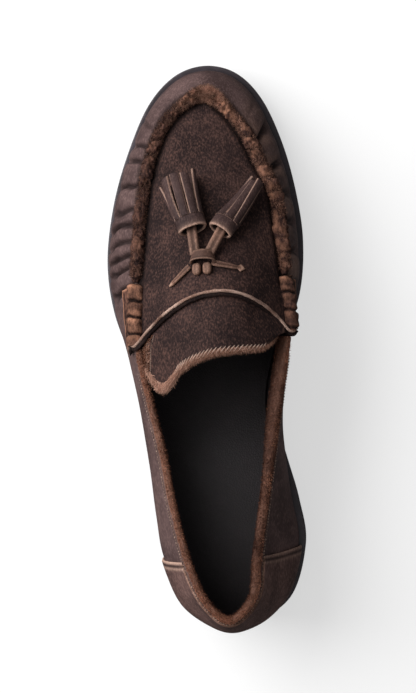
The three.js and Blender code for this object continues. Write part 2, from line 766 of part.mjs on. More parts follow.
// A round cord along the top line between two ring positions; radiusAt gets the distance run so far.
function topCord(from, to, steps, radiusAt) {
  const rings = [];
  const sides = 8;
  let run = 0;
  let before = null;
  for (let i = 0; i <= steps; i++) {
    const u = from + ((to - from) * i) / steps;
    const point = topPoint(u);
    if (before) run += point.distanceTo(before);
    before = point;
    const along = topPoint(u + 0.05).sub(topPoint(u - 0.05)).normalize();
    const side = new THREE.Vector3(0, 0, 1).cross(along).normalize();
    const up = along.clone().cross(side);
    const centre = point.clone().addScaledVector(up, seamLift);
    const radius = radiusAt(run);
    rings.push(
      Array.from({ length: sides }, (_, j) => {
        const angle = (2 * Math.PI * j) / sides;
        return centre
          .clone()
          .addScaledVector(side, radius * Math.cos(angle))
          .addScaledVector(up, radius * Math.sin(angle));
      }),
    );
  }
  return toSolid(loft(rings));
}

const seamEndStation = wingFrontStation - 0.1;
const underOverlay = upperForm(clearance);

function seamGeometry() {
  const pucker = (run) => seamRadius * (1 - puckerShare * Math.sin((Math.PI * run) / puckerPitch) ** 8);
  const cord = topCord(stationCount - seamEndStation, stationCount + seamEndStation, 66, pucker);
  return toGeometry(cord.subtract(underOverlay));
}

// A wing of the apron over the side wall, with the segmented roll that closes the seam.
function wingGeometry(side) {
  const back = archStation - 0.06;
  const u = (a) => stationCount + side * (wingFrontStation + (back - wingFrontStation) * a);
  const v = (b) => wingLowShare + (wingHighShare - wingLowShare) * b;
  const patch = sheet(
    4,
    3,
    (a, b) => wallOffset(u(a), v(b), clearance + wingThickness),
    (a, b) => wallOffset(u(a), v(b), clearance),
  );
  const roll = (run) => rollRadius - rollNotch * Math.abs(Math.cos((Math.PI * run) / rollPitch)) ** 6;
  const cord = topCord(stationCount + side * wingFrontStation, stationCount + side * back, 18, roll);
  return toGeometry(toSolid(patch).add(cord.subtract(underOverlay)));
}

// The counter wraps the heel between the two stations named "heel", from above the sole to below the trim.
function counterGeometry() {
  const u = (a) => (2 * a - 1) * counterReach;
  const v = (b) => Math.min(Math.max(b, counterLowShare), counterHighShare);
  return sheet(
    2 * counterReach * stepsPerStation,
    wallLevels,
    (a, b) => wallOffset(u(a), v(b), clearance + counterThickness),
    (a, b) => wallOffset(u(a), v(b), clearance),
  );
}

// The bead on the rim of the collar, from one end of the apron's arch round the heel to the other.
function collarTrimGeometry() {
  const from = stationCount + archStation + trimEndGap;
  const to = ringSize + stationCount - archStation - trimEndGap;
  const steps = 46;
  const rings = [];
  for (let i = 0; i <= steps; i++) {
    const u = from + ((to - from) * i) / steps;
    const out = wallNormal(u, 1);
    const up = wallPoint(u, 1).sub(wallPoint(u, 0.96)).normalize();
    const middle = topPoint(u)
      .addScaledVector(out, -wallThickness / 2)
      .addScaledVector(up, clearance * 1.5);
    rings.push(
      Array.from({ length: 7 }, (_, j) => {
        const angle = (Math.PI * j) / 6;
        return middle
          .clone()
          .addScaledVector(out, (trimWidth / 2) * Math.cos(angle))
          .addScaledVector(up, trimHeight * Math.sin(angle));
      }),
    );
  }
  return loft(rings);
}

// The tongue.

function tonguePoint(a, b, depth) {
  const across = 2 * b - 1;
  const k = archStation - tongueHidden;
  const under = wallThickness + 2 * clearance + depth;
  const s = across * tongueSpread;
  const tuck = (station) => apronPoint(station, s).addScaledVector(apronNormal(station, s), -under);
  if (a <= tuckedRows) return tuck(k + (archStation - k) * (a / tuckedRows));
  const t = (a - tuckedRows) / (1 - tuckedRows);
  const start = tuck(archStation);
  const runOn = start.clone().sub(tuck(archStation - 0.3)).normalize();
  const row = tongueEdge.findIndex((r) => r.across >= across - 1e-9);
  const before = Math.max(row - 1, 0);
  const span = tongueEdge[before + 1].across - tongueEdge[before].across;
  const position = before + (across - tongueEdge[before].across) / span;
  const y = rowValue(tongueEdge, "y", position) * shoeLength;
  const end = new THREE.Vector3(
    rowValue(tongueEdge, "x", position) * ballWidth,
    y,
    featherHeight(y) + rowValue(tongueEdge, "rise", position) * throatHeight - depth,
  );
  const reach = end.distanceTo(start) / 3;
  const curve = new THREE.CubicBezierCurve3(
    start,
    start.clone().addScaledVector(runOn, reach),
    end.clone().addScaledVector(new THREE.Vector3(0, 0.96, -0.12), reach),
    end,
  );
  return curve.getPoint(t);
}

function tongueGeometry() {
  return sheet(
    10,
    14,
    (a, b) => tonguePoint(a, b, 0),
    (a, b) => tonguePoint(a, b, tongueThickness),
  );
}

// The tassels and their tie.

// A strip that lies on the apron between two places; its width is a function of the share of its length.
function apronStrip(from, to, widthAt, thickness) {
  const rings = [];
  for (let i = 0; i <= 4; i++) {
    const t = i / 4;
    const { point, normal } = onApron(from[0] + (to[0] - from[0]) * t, from[1] + (to[1] - from[1]) * t);
    const along = new THREE.Vector3((to[0] - from[0]) * ballWidth, (to[1] - from[1]) * shoeLength, 0);
    along.addScaledVector(normal, -along.dot(normal)).normalize();
    const side = normal.clone().cross(along);
    const w = widthAt(t) / 2;
    const low = point.clone().addScaledVector(normal, clearance);
    rings.push([
      low.clone().addScaledVector(side, -w),
      low.clone().addScaledVector(side, w),
      low.clone().addScaledVector(side, w * 0.8).addScaledVector(normal, thickness),
      low.clone().addScaledVector(side, -w * 0.8).addScaledVector(normal, thickness),
    ]);
  }
  return loft(rings);
}

// A round rod between two points.
function rod(from, to, radius) {
  const line = to.clone().sub(from).normalize();
  const side = new THREE.Vector3(0, 0, 1).cross(line).normalize();
  const up = line.clone().cross(side);
  const sides = 8;
  const ringAt = (centre) =>
    Array.from({ length: sides }, (_, j) => {
      const angle = (2 * Math.PI * j) / sides;
      return centre
        .clone()
        .addScaledVector(side, radius * Math.cos(angle))
        .addScaledVector(up, radius * Math.sin(angle));
    });
  return toSolid(loft([ringAt(from), ringAt(to)]));
}

// The rolled cap of a tassel along +Y, open at its low end.
function tasselCap(half) {
  const profile = [
    new THREE.Vector2(0, capDepth + capBacking),
    new THREE.Vector2(0, capDepth - capBacking),
    new THREE.Vector2(half - capWall - capTaper, capDepth - capBacking),
    new THREE.Vector2(half - capWall, 0),
    new THREE.Vector2(half, 0),
    new THREE.Vector2(half, capDepth + capBacking),
  ];
  const cap = new THREE.LatheGeometry([...profile, profile[0].clone()], 18);
  cap.scale(1, 1, tasselFlatness);
  return toSolid(closedCopy(cap));
}

// One strip of a fringe along +Y: it starts on the cap and spreads to the fringe's half width at its end.
function tasselStrip(angle, width, half, flareHalf, length) {
  const cos = Math.cos(angle);
  const sin = Math.sin(angle);
  const tangent = new THREE.Vector3(-sin, 0, cos * tasselFlatness).normalize();
  const inwards = new THREE.Vector3(-cos, 0, -sin).multiplyScalar(stripThickness);
  const ringAt = (y, radius) => {
    const middle = new THREE.Vector3(cos * radius, y, sin * radius * tasselFlatness);
    const left = middle.clone().addScaledVector(tangent, -width / 2);
    const right = middle.clone().addScaledVector(tangent, width / 2);
    return [left, right, right.clone().add(inwards), left.clone().add(inwards)];
  };
  const sunk = stripThickness / 10;
  return toSolid(
    loft([
      ringAt(capDepth, half - sunk),
      ringAt((capDepth + length) / 2, (half + flareHalf) / 2 - sunk),
      ringAt(length, flareHalf - sunk),
    ]),
  );
}

// A tassel that lies on the apron, with the neck that runs from its cap to the wrap of the tie.
function tasselGeometry(tassel) {
  const half = (tassel.width * ballWidth) / 2;
  const flareHalf = (tassel.flare * ballWidth) / 2;
  const start = onApron(...tassel.ring);
  const finish = onApron(...tassel.end);
  const along = finish.point.clone().sub(start.point);
  const length = along.length();
  along.normalize();
  const up = start.normal.clone().addScaledVector(along, -start.normal.dot(along)).normalize();
  const middle = start.point.clone().addScaledVector(up, half * tasselFlatness + clearance + tasselLift);
  const placed = new THREE.Matrix4().makeBasis(along.clone().cross(up), along, up).setPosition(middle);
  let solid = tasselCap(half);
  const width = (2 * Math.PI * half * stripOverlap) / tassel.strips;
  for (let i = 0; i < tassel.strips; i++) {
    const angle = (2 * Math.PI * (i + 0.5)) / tassel.strips;
    const reach = length - ((2 * i) % 3) * stripStagger;
    solid = solid.add(tasselStrip(angle, width, half, flareHalf, reach));
  }
  const neck = onApron(tieCentre[0] + tassel.neck, tieCentre[1] + (wrapLength / 2 + tieGap) / shoeLength);
  const from = neck.point.addScaledVector(neck.normal, neckRadius + clearance + tasselLift);
  const to = middle.clone().addScaledVector(along, capDepth);
  solid = solid.transform(placed.elements).add(rod(from, to, neckRadius));
  return toGeometry(solid.subtract(underOverlay));
}

// A copy of a turned shape with the doubled vertices of its seam and axis joined.
function closedCopy(geometry) {
  const bare = geometry.clone();
  bare.deleteAttribute("normal");
  bare.deleteAttribute("uv");
  const merged = mergeVertices(bare, 1e-4);
  const position = merged.attributes.position;
  const vertices = Array.from({ length: position.count }, (_, i) =>
    new THREE.Vector3().fromBufferAttribute(position, i),
  );
  const faces = [];
  for (let i = 0; i < merged.index.count; i += 3) {
    const face = [merged.index.getX(i), merged.index.getX(i + 1), merged.index.getX(i + 2)];
    if (new Set(face).size === 3) faces.push(face);
  }
  return closedGeometry(vertices, faces);
}

// The band that wraps the necks of both tassels, arched over the apron.
function tieWrapGeometry() {
  const { point, normal } = onApron(...tieCentre);
  const along = new THREE.Vector3(0, 1, 0);
  along.addScaledVector(normal, -along.dot(normal)).normalize();
  const side = normal.clone().cross(along).negate();
  const height = 2 * neckRadius + wrapSlack;
  const section = (t, scale) => {
    const angle = Math.PI * t;
    return point
      .clone()
      .addScaledVector(side, -Math.cos(angle) * (wrapWidth / 2 - scale))
      .addScaledVector(normal, 2 * clearance + Math.sin(angle) ** 0.7 * (height - scale));
  };
  return sheet(
    12,
    2,
    (a, b) => section(a, 0).addScaledVector(along, (b - 0.5) * wrapLength),
    (a, b) => section(a, wrapThickness).addScaledVector(along, (b - 0.5) * wrapLength),
  );
}

// The shoe.

const shoe = new THREE.Group();

function addPiece(name, geometry, finish) {
  const mesh = new THREE.Mesh(geometry, new THREE.MeshStandardMaterial(finish));
  mesh.name = name;
  shoe.add(mesh);
}

addPiece("outsole", outsoleGeometry(), rubberBlack);
addPiece("midsole", midsoleGeometry(), rubberBlack);
const underOutsole = (y) => underHeight(y) - clearance;
addPiece("heel_block", heelPart(topLiftThickness + clearance, underOutsole), rubberBlack);
addPiece("heel_top_lift", heelPart(0, () => topLiftThickness), rubberBlack);
addPiece("insole", insoleGeometry(), sockBlack);
addPiece("upper", upperGeometry(), suedeBrown);
addPiece("apron_seam", seamGeometry(), suedeBrown);
addPiece("wing_lateral", wingGeometry(-1), suedeBrown);
addPiece("wing_medial", wingGeometry(1), suedeBrown);
addPiece("heel_counter", counterGeometry(), suedeBrown);
addPiece("collar_trim", collarTrimGeometry(), rawEdgeTan);
addPiece("tongue", tongueGeometry(), suedeBrown);
for (const tassel of tassels) addPiece(tassel.name, tasselGeometry(tassel), suedeBrown);
addPiece("tie_wrap", tieWrapGeometry(), rawEdgeTan);
for (const end of tieEnds) {
  const narrowing = (t) => Math.max(t - 1 + tiePointShare, 0) / tiePointShare;
  const width = (t) => tieWidth * (1 - 0.78 * narrowing(t));
  addPiece(end.name, apronStrip(end.from, end.to, width, tieThickness), rawEdgeTan);
}
for (const loop of tieLoops) {
  const half = loopLength / 2 / shoeLength;
  const from = [loop.at[0], loop.at[1] - half];
  const to = [loop.at[0], loop.at[1] + half];
  addPiece(loop.name, apronStrip(from, to, () => loopWidth, loopThickness), rawEdgeTan);
}

// The finished shoe stands with the middle of its footprint box on the origin.
const box = new THREE.Box3().setFromObject(shoe);
const middle = box.getCenter(new THREE.Vector3());
shoe.position.set(-middle.x, -middle.y, -box.min.z);

export default shoe;
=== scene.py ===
"""A left tassel loafer in brushed brown leather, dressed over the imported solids.

The shoe's own sizes are in millimetres, as a last maker has them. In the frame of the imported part, in metres,
+Y runs from the heel to the toe, +Z is up and +X points to the inner side of the left foot.
"""

import logging
import math
from collections.abc import Callable
from dataclasses import dataclass, field
from enum import Enum

import bmesh
import bpy
import numpy as np
from mathutils import Matrix, Vector

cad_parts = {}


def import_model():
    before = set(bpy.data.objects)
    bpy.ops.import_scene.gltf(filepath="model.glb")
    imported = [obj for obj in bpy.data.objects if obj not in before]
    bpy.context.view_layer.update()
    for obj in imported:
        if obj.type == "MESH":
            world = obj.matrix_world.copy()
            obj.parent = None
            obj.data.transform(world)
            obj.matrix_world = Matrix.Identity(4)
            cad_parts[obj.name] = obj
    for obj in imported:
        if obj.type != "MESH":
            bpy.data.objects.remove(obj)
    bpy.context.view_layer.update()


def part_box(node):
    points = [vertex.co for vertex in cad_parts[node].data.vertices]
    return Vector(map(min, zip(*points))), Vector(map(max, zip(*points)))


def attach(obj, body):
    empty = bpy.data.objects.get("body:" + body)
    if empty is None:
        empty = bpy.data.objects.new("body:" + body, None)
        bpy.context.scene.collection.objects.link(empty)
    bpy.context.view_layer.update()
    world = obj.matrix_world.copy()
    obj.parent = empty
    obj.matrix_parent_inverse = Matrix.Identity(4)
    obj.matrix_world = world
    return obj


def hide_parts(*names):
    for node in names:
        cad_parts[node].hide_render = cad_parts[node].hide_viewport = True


LOG = logging.getLogger("loafer")
MM = 0.001
Array = np.ndarray
Colour = tuple[float, float, float]
Span = tuple[float, float]
Finish = bpy.types.Material
UP = np.array([0.0, 0.0, 1.0])
ACROSS = np.array([1.0, 0.0, 0.0])


class Slot(Enum):
    """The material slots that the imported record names."""

    RUBBER = "sole_rubber"
    HEEL = "heel_stack"
    SOCK = "sock_leather"
    BRUSHED = "brushed_leather"
    SEAM = "seam_leather"
    RAW = "raw_edge"
    TASSEL = "tassel_leather"


class Side(Enum):
    """The two sides of the left shoe, with the sign of the stations counted from the toe."""

    LATERAL = -1
    MEDIAL = 1


# Small sums that every form uses


def catmull(a: Array, b: Array, c: Array, d: Array, t: Array) -> Array:
    """A uniform Catmull-Rom value between four neighbours.

    Args:
        a: The value before the span.
        b: The value at its start.
        c: The value at its end.
        d: The value after it.
        t: The share of the span.

    Returns:
        The value at t.
    """
    t2, t3 = t * t, t * t * t
    ends = (2 * t3 - 3 * t2 + 1) * b + (3 * t2 - 2 * t3) * c
    return ends + (t3 - 2 * t2 + t) * (c - a) / 2 + (t3 - t2) * (d - b) / 2


def ring_value(ring: Array, u: Array) -> Array:
    """The value of a closed ring of stations at position u, which may be any number."""
    i = np.floor(u).astype(int)
    a, b, c, d = (ring[(i + step) % len(ring)] for step in (-1, 0, 1, 2))
    return catmull(a, b, c, d, u - i)


def row_value(rows: Array, k: Array) -> Array:
    """The value of an open row of stations at position k, run on straight at its ends."""
    last = len(rows) - 1
    i = np.clip(np.floor(k).astype(int), 0, last - 1)
    b, c = rows[i], rows[i + 1]
    a = np.where(i > 0, rows[np.maximum(i - 1, 0)], 2 * b - c)
    d = np.where(i + 2 <= last, rows[np.minimum(i + 2, last)], 2 * c - b)
    return catmull(a, b, c, d, k - i)


def profile_value(at: Array, values: Array, where: Array) -> Array:
    """A monotone cubic through the rows of a profile, held level past its ends.

    Args:
        at: The places of the rows, growing.
        values: The value at each place.
        where: The places that are asked for.

    Returns:
        The values there.
    """
    slopes = np.diff(values) / np.diff(at)
    before, after = slopes[:-1], slopes[1:]
    turning = before * after <= 0
    inner = np.where(turning, 0.0, 2 * before * after / np.where(turning, 1.0, before + after))
    tangents = np.concatenate([slopes[:1], inner, slopes[-1:]])
    x = np.clip(where, at[0], at[-1])
    i = np.clip(np.searchsorted(at, x, side="right") - 1, 0, len(at) - 2)
    h = at[i + 1] - at[i]
    t = (x - at[i]) / h
    t2, t3 = t * t, t * t * t
    ends = (2 * t3 - 3 * t2 + 1) * values[i] + (3 * t2 - 2 * t3) * values[i + 1]
    return ends + (t3 - 2 * t2 + t) * h * tangents[i] + (t3 - t2) * h * tangents[i + 1]


def smoothstep(low: float, high: float, x: Array) -> Array:
    """0 below low, 1 above high, and a smooth rise between them."""
    t = np.clip((x - low) / (high - low), 0.0, 1.0)
    return t * t * (3 - 2 * t)


def unit(v: Array) -> Array:
    """Vectors of length 1, with the up direction in place of any that has no length."""
    length = np.linalg.norm(v, axis=-1, keepdims=True)
    return np.where(length > 1e-9, v / np.maximum(length, 1e-9), UP)


def bell(x: Array, width: Array | float, at: Array | float = 0.0) -> Array:
    """A smooth bell around at: 1 there, and down to 0.37 at width from it."""
    return np.exp(-(((x - at) / width) ** 2))


def plateau(rise: Span, fall: Span, x: Array) -> Array:
    """1 in the middle and 0 outside, with a smooth rise over one span and a smooth fall over the other."""
    return smoothstep(*rise, x) * (1 - smoothstep(*fall, x))


def ring_angles(sides: int) -> Array:
    """The angles round a tube, as a row, with the first place again at its end."""
    return np.linspace(0, 2 * math.pi, sides + 1)[None, :]


def runs(points: Array) -> Array:
    """The distance run at each point of a line."""
    return np.concatenate([[0.0], np.cumsum(np.linalg.norm(np.diff(points, axis=0), axis=1))])


def soft_noise(points: Array, size: float, seed: int = 0) -> Array:
    """Smooth noise from -1 to 1 over points in space.

    Args:
        points: Points with three coordinates, in millimetres.
        size: The width of one swell, in millimetres.
        seed: Which of many noises.

    Returns:
        One number for each point.
    """
    lattice = np.random.default_rng(seed).uniform(-1, 1, (32, 32, 32))
    p = points / size + 57.31
    i = np.floor(p).astype(int)
    t = p - i
    t = t * t * (3 - 2 * t)
    total = 0.0
    for corner in np.ndindex(2, 2, 2):
        share = np.prod(np.where(np.array(corner) == 1, t, 1 - t), axis=-1)
        x, y, z = ((i[..., n] + corner[n]) % 32 for n in range(3))
        total = total + share * lattice[x, y, z]
    return total


def ring_of(table: tuple, lateral: int, medial: int) -> Array:
    """Two columns of a table, whose rows run from toe to heel, as a ring: heel, lateral, toe, medial."""
    return np.array([*(row[lateral] for row in reversed(table)), *(row[medial] for row in table[1:-1])])


# The last: every curve of the shoe's shape, as the solids have it


@dataclass
class Last:
    """The form of the shoe in its own millimetres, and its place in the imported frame."""

    length: float = 266.0
    ball: float = 93.7
    throat: float = 64.5
    wall_thickness: float = 2.0
    gap: float = 0.3
    heel_seat: float = 26.5
    forefoot: float = 10.5
    toe_spring: float = 6.5
    midsole_thickness: float = 3.2
    heel_sole: float = 7.5
    arch: float = 2.4
    rim: float = 3.0
    heel_length: float = 67.0
    tuck_depth: float = 1.9
    toe_station: int = 13
    arch_station: int = 7
    shift: Array = field(default_factory=lambda: np.zeros(3))

    # Shares from the toe tip back to the heel: lateral x, y and rim, then medial x, y and rim.
    SOLE = (
        (0.0, 1.0, 1, 0.0, 1.0, 1),
        (-0.16, 0.985, 1, 0.155, 0.983, 1),
        (-0.304, 0.936, 1, 0.277, 0.934, 1.05),
        (-0.423, 0.853, 0.95, 0.368, 0.853, 1.05),
        (-0.51, 0.763, 0.85, 0.423, 0.763, 1),
        (-0.557, 0.662, 0.75, 0.443, 0.677, 0.9),
        (-0.534, 0.568, 0.65, 0.411, 0.586, 0.6),
        (-0.446, 0.47, 0.45, 0.304, 0.489, 0.35),
        (-0.388, 0.372, 0.4, 0.245, 0.391, 0.3),
        (-0.357, 0.29, 0.4, 0.303, 0.302, 0.35),
        (-0.342, 0.21, 0.4, 0.356, 0.223, 0.5),
        (-0.327, 0.1355, 0.4, 0.376, 0.142, 0.5),
        (-0.229, 0.047, 0.4, 0.274, 0.047, 0.45),
        (0.016, 0.0075, 0.4, 0.016, 0.0075, 0.4),
    )
    # The walls' top line, in the same order: lateral x, y and rise, then medial x, y and rise.
    TOP = (
        (0.005, 0.941, 0.365, 0.005, 0.941, 0.365),
        (-0.101, 0.926, 0.385, 0.096, 0.914, 0.39),
        (-0.208, 0.891, 0.44, 0.187, 0.87, 0.445),
        (-0.283, 0.833, 0.495, 0.258, 0.812, 0.5),
        (-0.333, 0.759, 0.55, 0.32, 0.759, 0.55),
        (-0.363, 0.677, 0.605, 0.342, 0.68, 0.605),
        (-0.386, 0.594, 0.66, 0.354, 0.594, 0.66),
        (-0.393, 0.508, 0.695, 0.361, 0.519, 0.695),
        (-0.363, 0.429, 0.62, 0.313, 0.425, 0.62),
        (-0.307, 0.323, 0.53, 0.256, 0.323, 0.53),
        (-0.267, 0.2275, 0.53, 0.205, 0.2275, 0.53),
        (-0.207, 0.1355, 0.59, 0.16, 0.139, 0.59),
        (-0.128, 0.068, 0.67, 0.126, 0.068, 0.67),
        (-0.003, 0.031, 0.705, -0.003, 0.031, 0.705),
    )
    # How the walls swell: lateral belly and lean, medial belly and lean, lift and drop.
    SWELL = (
        (0.02, 0.055, 0.02, 0.055, 0.52, 0.1),
        (0.022, 0.058, 0.022, 0.058, 0.52, 0.1),
        (0.025, 0.06, 0.022, 0.06, 0.52, 0.1),
        (0.03, 0.065, 0.022, 0.06, 0.5, 0.12),
        (0.034, 0.07, 0.022, 0.05, 0.5, 0.12),
        (0.036, 0.072, 0.02, 0.05, 0.48, 0.14),
        (0.034, 0.06, 0.02, 0.036, 0.46, 0.2),
        (0.046, 0.046, 0.03, 0.012, 0.42, 0.3),
        (0.05, 0.048, 0.045, 0.02, 0.38, 0.34),
        (0.06, 0.062, 0.04, 0.045, 0.36, 0.36),
        (0.064, 0.066, 0.016, 0.07, 0.34, 0.38),
        (0.05, 0.06, 0.006, 0.066, 0.34, 0.38),
        (0.04, 0.04, 0.024, 0.048, 0.34, 0.38),
        (0.046, 0.042, 0.046, 0.042, 0.34, 0.38),
    )
    # The apron's middle line: x, y and rise.
    CROWN = (
        (0.005, 0.941, 0.365),
        (0.0, 0.906, 0.432),
        (-0.002, 0.861, 0.518),
        (-0.004, 0.807, 0.615),
        (-0.006, 0.749, 0.715),
        (-0.004, 0.693, 0.815),
        (0.002, 0.641, 0.91),
        (0.012, 0.592, 1.0),
    )
    # The tongue's free edge: across, x, y and rise.
    TONGUE = (
        (-1.0, -0.322, 0.468, 0.745),
        (-0.7, -0.262, 0.43, 0.78),
        (-0.4, -0.166, 0.462, 0.93),
        (-0.05, -0.03, 0.482, 1.035),
        (0.35, 0.122, 0.487, 1.02),
        (0.7, 0.236, 0.49, 0.915),
        (1.0, 0.3, 0.51, 0.79),
    )
    # The side profile: place, feather line and underside; the toe's rows follow the body's.
    BODY_PROFILE = (
        (0.0, 1.0, 1.0),
        (0.12, 0.97, 0.96),
        (0.25, 0.875, 0.82),
        (0.38, 0.53, 0.4),
        (0.48, 0.24, 0.1),
        (0.56, 0.06, 0.0),
        (0.7, 0.0, 0.0),
        (0.78, 0.0, 0.0),
    )
    TOE_PROFILE = ((0.78, 0.0, 0.0), (0.88, 0.2, 0.22), (1.0, 1.0, 1.12))

    def __post_init__(self) -> None:
        """Reads the tables into rings and rows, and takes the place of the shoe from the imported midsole."""
        self.edge_x = ring_of(self.SOLE, 0, 3) * self.ball
        self.edge_y = ring_of(self.SOLE, 1, 4) * self.length
        self.rim_share = ring_of(self.SOLE, 2, 5)
        self.top_x, self.top_y = ring_of(self.TOP, 0, 3) * self.ball, ring_of(self.TOP, 1, 4) * self.length
        self.top_rise = ring_of(self.TOP, 2, 5) * self.throat
        self.belly, self.lean = (ring_of(self.SWELL, n, n + 2) * self.ball for n in (0, 1))
        self.lift, self.drop = (ring_of(self.SWELL, n, n) for n in (4, 5))
        crown = np.array(self.CROWN)
        self.crown_x, self.crown_y = crown[:, 0] * self.ball, crown[:, 1] * self.length
        self.crown_rise = crown[:, 2] * self.throat
        self.body_profile, self.toe_profile = np.array(self.BODY_PROFILE), np.array(self.TOE_PROFILE)
        outline = self.edge(np.arange(0, 2 * self.toe_station, 0.25))
        low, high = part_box("midsole")
        self.shift = np.array(
            [
                (low.x + high.x) / 2 / MM - (outline[:, 0].min() + outline[:, 0].max()) / 2,
                (low.y + high.y) / 2 / MM - (outline[:, 1].min() + outline[:, 1].max()) / 2,
                0.0,
            ]
        )

    def place(self, points: Array) -> Array:
        """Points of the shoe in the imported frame's metres."""
        return (points + self.shift) * MM

    def edge(self, u: Array) -> Array:
        """The sole's outline at ring position u."""
        return np.stack([ring_value(self.edge_x, u), ring_value(self.edge_y, u)], axis=-1)

    def outward(self, u: Array) -> Array:
        """The direction square to the outline, out of the shoe."""
        along = self.edge(u + 0.02) - self.edge(u - 0.02)
        out = np.stack([-along[..., 1], along[..., 0]], axis=-1)
        return out / np.linalg.norm(out, axis=-1, keepdims=True)

    def inset(self, u: Array, inset: Array) -> Array:
        """The outline moved in."""
        return self.edge(u) - self.outward(u) * np.asarray(inset)[..., None]

    def feather_height(self, y: Array) -> Array:
        """The top of the midsole along the shoe."""
        at = y / self.length
        body = profile_value(self.body_profile[:, 0], self.body_profile[:, 1], at)
        toe = profile_value(self.toe_profile[:, 0], self.toe_profile[:, 1], at)
        rising = self.forefoot + (self.heel_seat - self.forefoot) * body
        return np.where(at > self.TOE_PROFILE[0][0], self.forefoot + self.toe_spring * toe, rising)

    def under_height(self, y: Array) -> Array:
        """The underside of the outsole along the shoe."""
        at = y / self.length
        body = profile_value(self.body_profile[:, 0], self.body_profile[:, 2], at)
        toe = profile_value(self.toe_profile[:, 0], self.toe_profile[:, 2], at)
        waist = smoothstep(self.heel_length / self.length, self.BODY_PROFILE[5][0], at)
        rising = (self.heel_seat - self.heel_sole) * body + self.arch / 2 * np.sin(math.pi * waist)
        return np.where(at > self.TOE_PROFILE[0][0], self.toe_spring * toe, rising)

    def foot(self, u: Array) -> Array:
        """The line where the upper stands on the midsole."""
        plan = self.inset(u, self.rim * ring_value(self.rim_share, u))
        height = self.feather_height(plan[..., 1]) + self.gap
        return np.concatenate([plan, height[..., None]], axis=-1)

    def top(self, u: Array) -> Array:
        """The top line of the walls: the seam of the apron, then the collar."""
        x, y = ring_value(self.top_x, u), ring_value(self.top_y, u)
        return np.stack([x, y, self.feather_height(y) + ring_value(self.top_rise, u)], axis=-1)

    def wall(self, u: Array, v: Array) -> Array:
        """The outer face of the wall at ring position u, from the sole at v 0 to the top line at v 1."""
        u, v = np.broadcast_arrays(np.asarray(u, float), np.asarray(v, float))
        out = np.concatenate([self.outward(u), np.zeros(u.shape + (1,))], axis=-1)
        foot, top = self.foot(u), self.top(u)
        height = (top - foot)[..., 2]
        lower = foot + out * ring_value(self.belly, u)[..., None]
        lower = lower + UP * (height * ring_value(self.lift, u))[..., None]
        upper = top + out * ring_value(self.lean, u)[..., None]
        upper = upper - UP * (height * ring_value(self.drop, u))[..., None]
        t = v[..., None]
        ends = (1 - t) ** 3 * foot + t**3 * top
        return ends + 3 * (1 - t) ** 2 * t * lower + 3 * (1 - t) * t**2 * upper

    def wall_normal(self, u: Array, v: Array) -> Array:
        """The outward normal of the wall."""
        u, v = np.broadcast_arrays(np.asarray(u, float), np.asarray(v, float))
        along = self.wall(u + 0.03, v) - self.wall(u - 0.03, v)
        up = self.wall(u, np.minimum(v + 0.03, 1)) - self.wall(u, np.maximum(v - 0.03, 0))
        return unit(np.cross(up, along))

    def heel_tuck(self, u: Array, v: Array) -> Array:
        """How far the wall stands in over the inner side of the heel, where the sole's rim shows."""
        around = plateau((21.4, 23.0), (24.8, 25.9), u % (2 * self.toe_station))
        return self.tuck_depth * around * (1 - smoothstep(0.35, 0.95, v))

    def apron(self, k: Array, s: Array) -> Array:
        """The apron at station k back from the toe, from s -1 on the lateral seam to 1 on the medial one."""
        k, s = np.broadcast_arrays(np.asarray(k, float), np.asarray(s, float))
        lateral, medial = self.top(self.toe_station - k), self.top(self.toe_station + k)
        y = row_value(self.crown_y, k)
        height = self.feather_height(y) + row_value(self.crown_rise, k)
        crown = np.stack([row_value(self.crown_x, k), y, height], axis=-1)
        swell = (1 - np.abs(s) ** 2.1)[..., None]
        across = ((s + 1) / 2)[..., None]
        return lateral + (medial - lateral) * across + (crown - (lateral + medial) / 2) * swell

    def apron_normal(self, k: Array, s: Array) -> Array:
        """The upward normal of the apron."""
        k, s = np.broadcast_arrays(np.asarray(k, float), np.asarray(s, float))
        step = 0.04
        across = self.apron(k, np.minimum(s + step, 1)) - self.apron(k, np.maximum(s - step, -1))
        front, back = np.maximum(k - step, step), np.minimum(k + step, self.arch_station)
        return unit(np.cross(across, self.apron(front, s) - self.apron(back, s)))

    def on_apron(self, x: float, y: float) -> tuple[Array, Array]:
        """The apron's point and normal over a place given in shares of the ball width and the length."""
        k = np.arange(0.2, self.arch_station + 0.001, 0.1)[:, None]
        s = np.arange(-0.95, 0.951, 0.05)[None, :]
        grid = self.apron(k, s)
        wanted = np.array([x * self.ball, y * self.length])
        miss = np.linalg.norm(grid[..., :2] - wanted, axis=-1)
        i, j = np.unravel_index(np.argmin(miss), miss.shape)
        point, normal = grid[i, j], self.apron_normal(k[i, 0], s[0, j])
        dx, dy = wanted - point[:2]
        return np.array([*wanted, point[2] - (normal[0] * dx + normal[1] * dy) / normal[2]]), normal

    def under_apron(self, k: Array, s: Array, depth: float) -> Array:
        """Points at a depth under the apron."""
        return self.apron(k, s) - self.apron_normal(k, s) * depth

